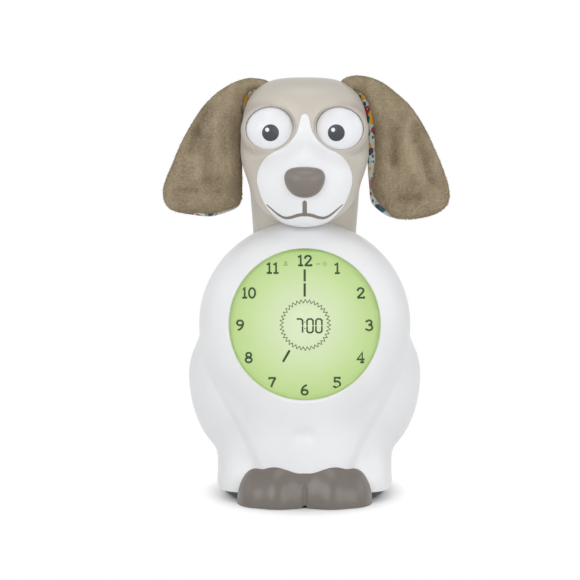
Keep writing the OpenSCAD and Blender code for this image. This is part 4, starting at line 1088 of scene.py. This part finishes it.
def fold_depth(side, x, z):
    deep = np.zeros(len(x))
    for (x0, z0), (x1, z1), wide, much in FOLDS[side]:
        dx, dz = x1 - x0, z1 - z0
        along = np.clip(((x - x0) * dx + (z - z0) * dz) / (dx**2 + dz**2), 0, 1)
        far = np.hypot(x - x0 - along * dx, z - z0 - along * dz)
        deep += much * np.exp(-((far / wide) ** 2))
    return deep


def lobe(name, side, outline, front, rear, step=1.1):
    """A closed soft lobe in the plane of the ear, with a front and a rear bulge."""
    sign = -1 if side == "left" else 1
    verts, faces, edge = lobe_grid(outline, step)
    roll = np.sqrt(np.clip(1 - (1 - np.clip(edge / 4.5, 0, 1)) ** 2, 0, 1))
    x, z = verts[:, 0], verts[:, 1]
    hang = np.clip((185 - z) / 50, 0, 1)
    middle = EAR_ROOT[1] + hang * (1.1 * np.sin((x - 34) / 9.0) - 0.3)
    folds = fold_depth(side, x, z)
    swell = front + 0.5 * np.sin((x + 0.4 * z) / 5.5 + 2.0) * hang - folds * (front > 2)
    n = len(verts)
    points = [(sign * a, m - f * r, b) for a, b, m, r, f in zip(x, z, middle, roll, swell)]
    points += [(sign * a, m + rear * r, b) for a, b, m, r in zip(x, z, middle, roll)]
    rim = edge < 1e-3
    back = np.arange(n) + n
    back[rim] = np.arange(n)[rim]
    shapes = list(faces) + [tuple(back[i] for i in f[::-1]) for f in faces]
    used = sorted({i for f in shapes for i in f})
    place = {v: i for i, v in enumerate(used)}
    obj = new_object(name, [points[i] for i in used], [[place[i] for i in f] for f in shapes])
    fold_depths, seam, height = (np.concatenate([v, v])[used] for v in (folds, edge, z))
    sewn = np.clip(1 - seam / 1.5, 0, 1)
    held = sewn + np.clip(fold_depths / 1.4, 0, 0.9) + np.clip((height - 183) / 4, 0, 1)
    stuff(obj, np.clip(held, 0, 1))
    # The fold depths, kept on the points for the plush's painted shade in the valleys and painted
    # light on the ridges.
    values = obj.data.attributes.new("painted_fold_shade", "FLOAT", "POINT").data
    values.foreach_set("value", np.clip(fold_depths / 2.0, -0.6, 1))
    return obj


def stuff(obj, held, frames=16, most=1.3, larger=100):
    """Presses the filling against a cover: cloth on a larger copy, held by seam and folds."""
    n, scene = len(obj.data.vertices), bpy.context.scene
    start, end = np.empty(3 * n), np.empty(3 * n)
    obj.data.vertices.foreach_get("co", start)
    copy = copy_of(obj, "filling")
    copy.data.vertices.foreach_set("co", start * larger)
    group = copy.vertex_groups.new(name="sewn")
    for i, weight in enumerate(held):
        group.add([i], float(weight), "REPLACE")
    cloth = copy.modifiers.new("filling", "CLOTH")
    cover = cloth.settings
    cover.quality, cover.mass, cover.air_damping = 5, 0.1, 2.0
    cover.tension_stiffness = cover.compression_stiffness = 15
    cover.shear_stiffness, cover.bending_stiffness = 5, 0.5
    cover.use_pressure, cover.uniform_pressure_force = True, 4.0
    cover.vertex_group_mass, cover.pin_stiffness = "sewn", 1.0
    cover.effector_weights.gravity = 0
    cloth.collision_settings.use_collision = False
    cloth.point_cache.frame_start, cloth.point_cache.frame_end = 1, frames
    for frame_now in range(1, frames + 1):
        scene.frame_set(frame_now)
    done = copy.evaluated_get(bpy.context.evaluated_depsgraph_get())
    done.data.vertices.foreach_get("co", end)
    move = (end / larger - start).reshape(-1, 3)
    far = np.linalg.norm(move, axis=1)
    move *= np.minimum(1, most * MM / np.maximum(far, 1e-9))[:, None]
    bpy.data.objects.remove(copy)
    scene.frame_set(1)
    obj.data.vertices.foreach_set("co", start + move.ravel())
    obj.data.update()


# Inputs of the pile's tree, after the cover that it grows on.
PILE_SIZES = {"Hairs per square metre": 3.6e6, "Hair length": 0.8 * MM, "Hair radius": 0.11 * MM}


def pile_tree(material):
    """Short hairs all over the front of a cover, brushed down along it."""
    tree = bpy.data.node_groups.new("short_pile", "GeometryNodeTree")
    tree.interface.new_socket("Cover", in_out="INPUT", socket_type="NodeSocketGeometry")
    for name in PILE_SIZES:
        tree.interface.new_socket(name, in_out="INPUT", socket_type="NodeSocketFloat")
    tree.interface.new_socket("Pile", in_out="OUTPUT", socket_type="NodeSocketGeometry")

    def node(kind, *first, **settings):
        return add_node(tree, kind, *first, **settings).outputs

    def random(kind, low, high, seed):
        place = {"FLOAT_VECTOR": 0, "FLOAT": 1}[kind]
        made = add_node(tree, "FunctionNodeRandomValue", data_type=kind, Seed=seed)
        for k, value in enumerate((low, high)):
            made.inputs[2 * place + k].default_value = value
        return made.outputs[place]

    given = node("NodeGroupInput")
    depth = node("ShaderNodeSeparateXYZ", node("GeometryNodeInputNormal")[0])["Y"]
    front = node("FunctionNodeCompare", depth, 0.15, data_type="FLOAT", operation="LESS_THAN")[0]
    roots = node("GeometryNodeDistributePointsOnFaces", Mesh=given["Cover"], Selection=front,
                 Density=given["Hairs per square metre"], Seed=7)
    hair = node("GeometryNodeMeshCone", Vertices=3, Radius_Bottom=given["Hair radius"],
                Depth=given["Hair length"])["Mesh"]
    brushed = node("ShaderNodeVectorMath", roots["Normal"], (0, 0, -0.9), operation="ADD")[0]
    astray = random("FLOAT_VECTOR", (-0.5, -0.5, -0.5), (0.5, 0.5, 0.5), 3)
    lie = node("ShaderNodeVectorMath", brushed, astray, operation="ADD")[0]
    turn = node("FunctionNodeAlignRotationToVector", axis="Z", Vector=lie)[0]
    pile = node("GeometryNodeInstanceOnPoints", Points=roots["Points"], Instance=hair,
                Rotation=turn, Scale=random("FLOAT", 0.6, 1.25, 5))[0]
    real = node("GeometryNodeRealizeInstances", pile)[0]
    node("NodeGroupOutput", node("GeometryNodeSetMaterial", Geometry=real, Material=material)[0])
    return tree


def grow_pile(cover, name, tree):
    """A mesh of the hairs that the tree plants on a cover."""
    planting = cover.modifiers.new("pile", "NODES")
    planting.node_group = tree
    for item in tree.interface.items_tree:
        if item.name in PILE_SIZES:
            planting[item.identifier] = PILE_SIZES[item.name]
    graph = bpy.context.evaluated_depsgraph_get()
    mesh = bpy.data.meshes.new_from_object(cover.evaluated_get(graph), depsgraph=graph)
    cover.modifiers.remove(planting)
    return add_object(name, mesh)


def build_ear(side, tree):
    """An ear's plush cover, its printed lining and its pile."""
    outline = EAR_OUTLINES[side]
    first, edge = PLUSH_EDGES[side]
    lining = lobe(f"ear_{side}_print", side, outline, 1.3, 3.0)
    cover = lobe(f"ear_{side}_plush", side, outline[:first] + edge, 4.4, 0.6)
    pile = grow_pile(cover, f"ear_{side}_pile", tree)
    for obj, slot, node in ((cover, "ear_plush", f"ear_{side}"),
                            (lining, "ear_print", f"ear_lining_{side}")):
        obj.data.shade_smooth()
        obj.data.materials.append(FINISH[slot])
        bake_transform(obj)
        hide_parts(node)
    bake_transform(pile)


short_pile = pile_tree(FINISH["ear_plush"])
for side in ("left", "right"):
    build_ear(side, short_pile)


# ---- carried-over nodes

slots = {part["node"]: part["material_slot"] for part in frame["record"]["subparts"]}
for name, obj in frame["nodes"].items():
    obj.data.materials.clear()
    obj.data.materials.append(FINISH[slots[name]])


# ---- studio


def seen_white(tree, surface, share=None):
    """Shows a shader as plain white to the camera, to reflections and through glass."""
    def node(kind, *first, **settings):
        return add_node(tree, kind, *first, **settings).outputs

    rays = node("ShaderNodeLightPath")
    direct = rays["Is Camera Ray"]
    for kind in ("Is Glossy Ray", "Is Transmission Ray"):
        direct = node("ShaderNodeMath", direct, rays[kind], operation="MAXIMUM")[0]
    if share is not None:
        direct = node("ShaderNodeMath", direct, share, operation="MULTIPLY")[0]
    return node("ShaderNodeMixShader", direct, surface, node("ShaderNodeEmission")[0])[0]


def pale_floor():
    """A pale floor that keeps the shadow near the clock and runs out into white."""
    half, shadow_ends, white_starts = 3000, 0.044, 0.061
    floor = prism([(-half, -half), (half, -half), (half, half), (-half, half)], -10, 0)
    floor.name = "floor"
    f = Finish("pale_floor", (245.8, 245.8, 245.8), 0.6)
    far = f.distance(f.placed(f.coords, Scale=(1.25, 1, 1)))
    top = seen_white(f.tree, f.shader.outputs[0], f.between(far, shadow_ends, white_starts))
    feed(f.tree, f.tree.nodes["Material Output"].inputs["Surface"], top)
    floor.data.materials.append(f.material)


def aimed(name, data, place, aim):
    """A lamp or camera that looks from its place to its aim."""
    obj = add_object(name, data)
    obj.location = place
    obj.rotation_euler = (Vector(aim) - Vector(place)).to_track_quat("-Z", "Y").to_euler()
    return obj


# Lamps, in metres and watts: place, height of the aim, diameter and power.
LAMPS = {
    "key": ((-0.6, -1.0, 0.55), 0.11, 0.8, 4.6),
    "fill": ((0.7, -0.95, 0.38), 0.1, 0.8, 3.5),
    "left": ((-1.1, -0.1, 0.5), 0.1, 0.8, 1.3),
    "right": ((1.1, -0.1, 0.5), 0.1, 0.8, 1.8),
    "top": ((0.0, -0.2, 1.15), 0.1, 0.6, 1.9),
}


def studio():
    scene = bpy.context.scene
    scene.view_settings.view_transform = "Standard"
    scene.world = bpy.data.worlds.new("soft_room")
    scene.world.use_nodes = True
    tree = scene.world.node_tree
    back = tree.nodes["Background"]
    back.inputs["Color"].default_value = (0.99, 0.99, 1.0, 1)
    back.inputs["Strength"].default_value = 0.345
    feed(tree, tree.nodes["World Output"].inputs["Surface"], seen_white(tree, back.outputs[0]))
    pale_floor()
    for name, (place, aim_height, size, power) in LAMPS.items():
        light = bpy.data.lights.new(name, "AREA")
        light.shape, light.size, light.energy = "DISK", size, power
        aimed(name, light, place, (0, 0, aim_height))
    camera = bpy.data.cameras.new("camera")
    camera.lens, camera.sensor_width = 170.2, 36
    camera.shift_x, camera.shift_y = -0.0253, -0.0038
    tilt, away, target = math.radians(7), 1.3, Vector((0, 0, 0.098))
    place = target + Vector((0, -math.cos(tilt), math.sin(tilt))) * away
    scene.camera = aimed("camera", camera, place, target)


studio()
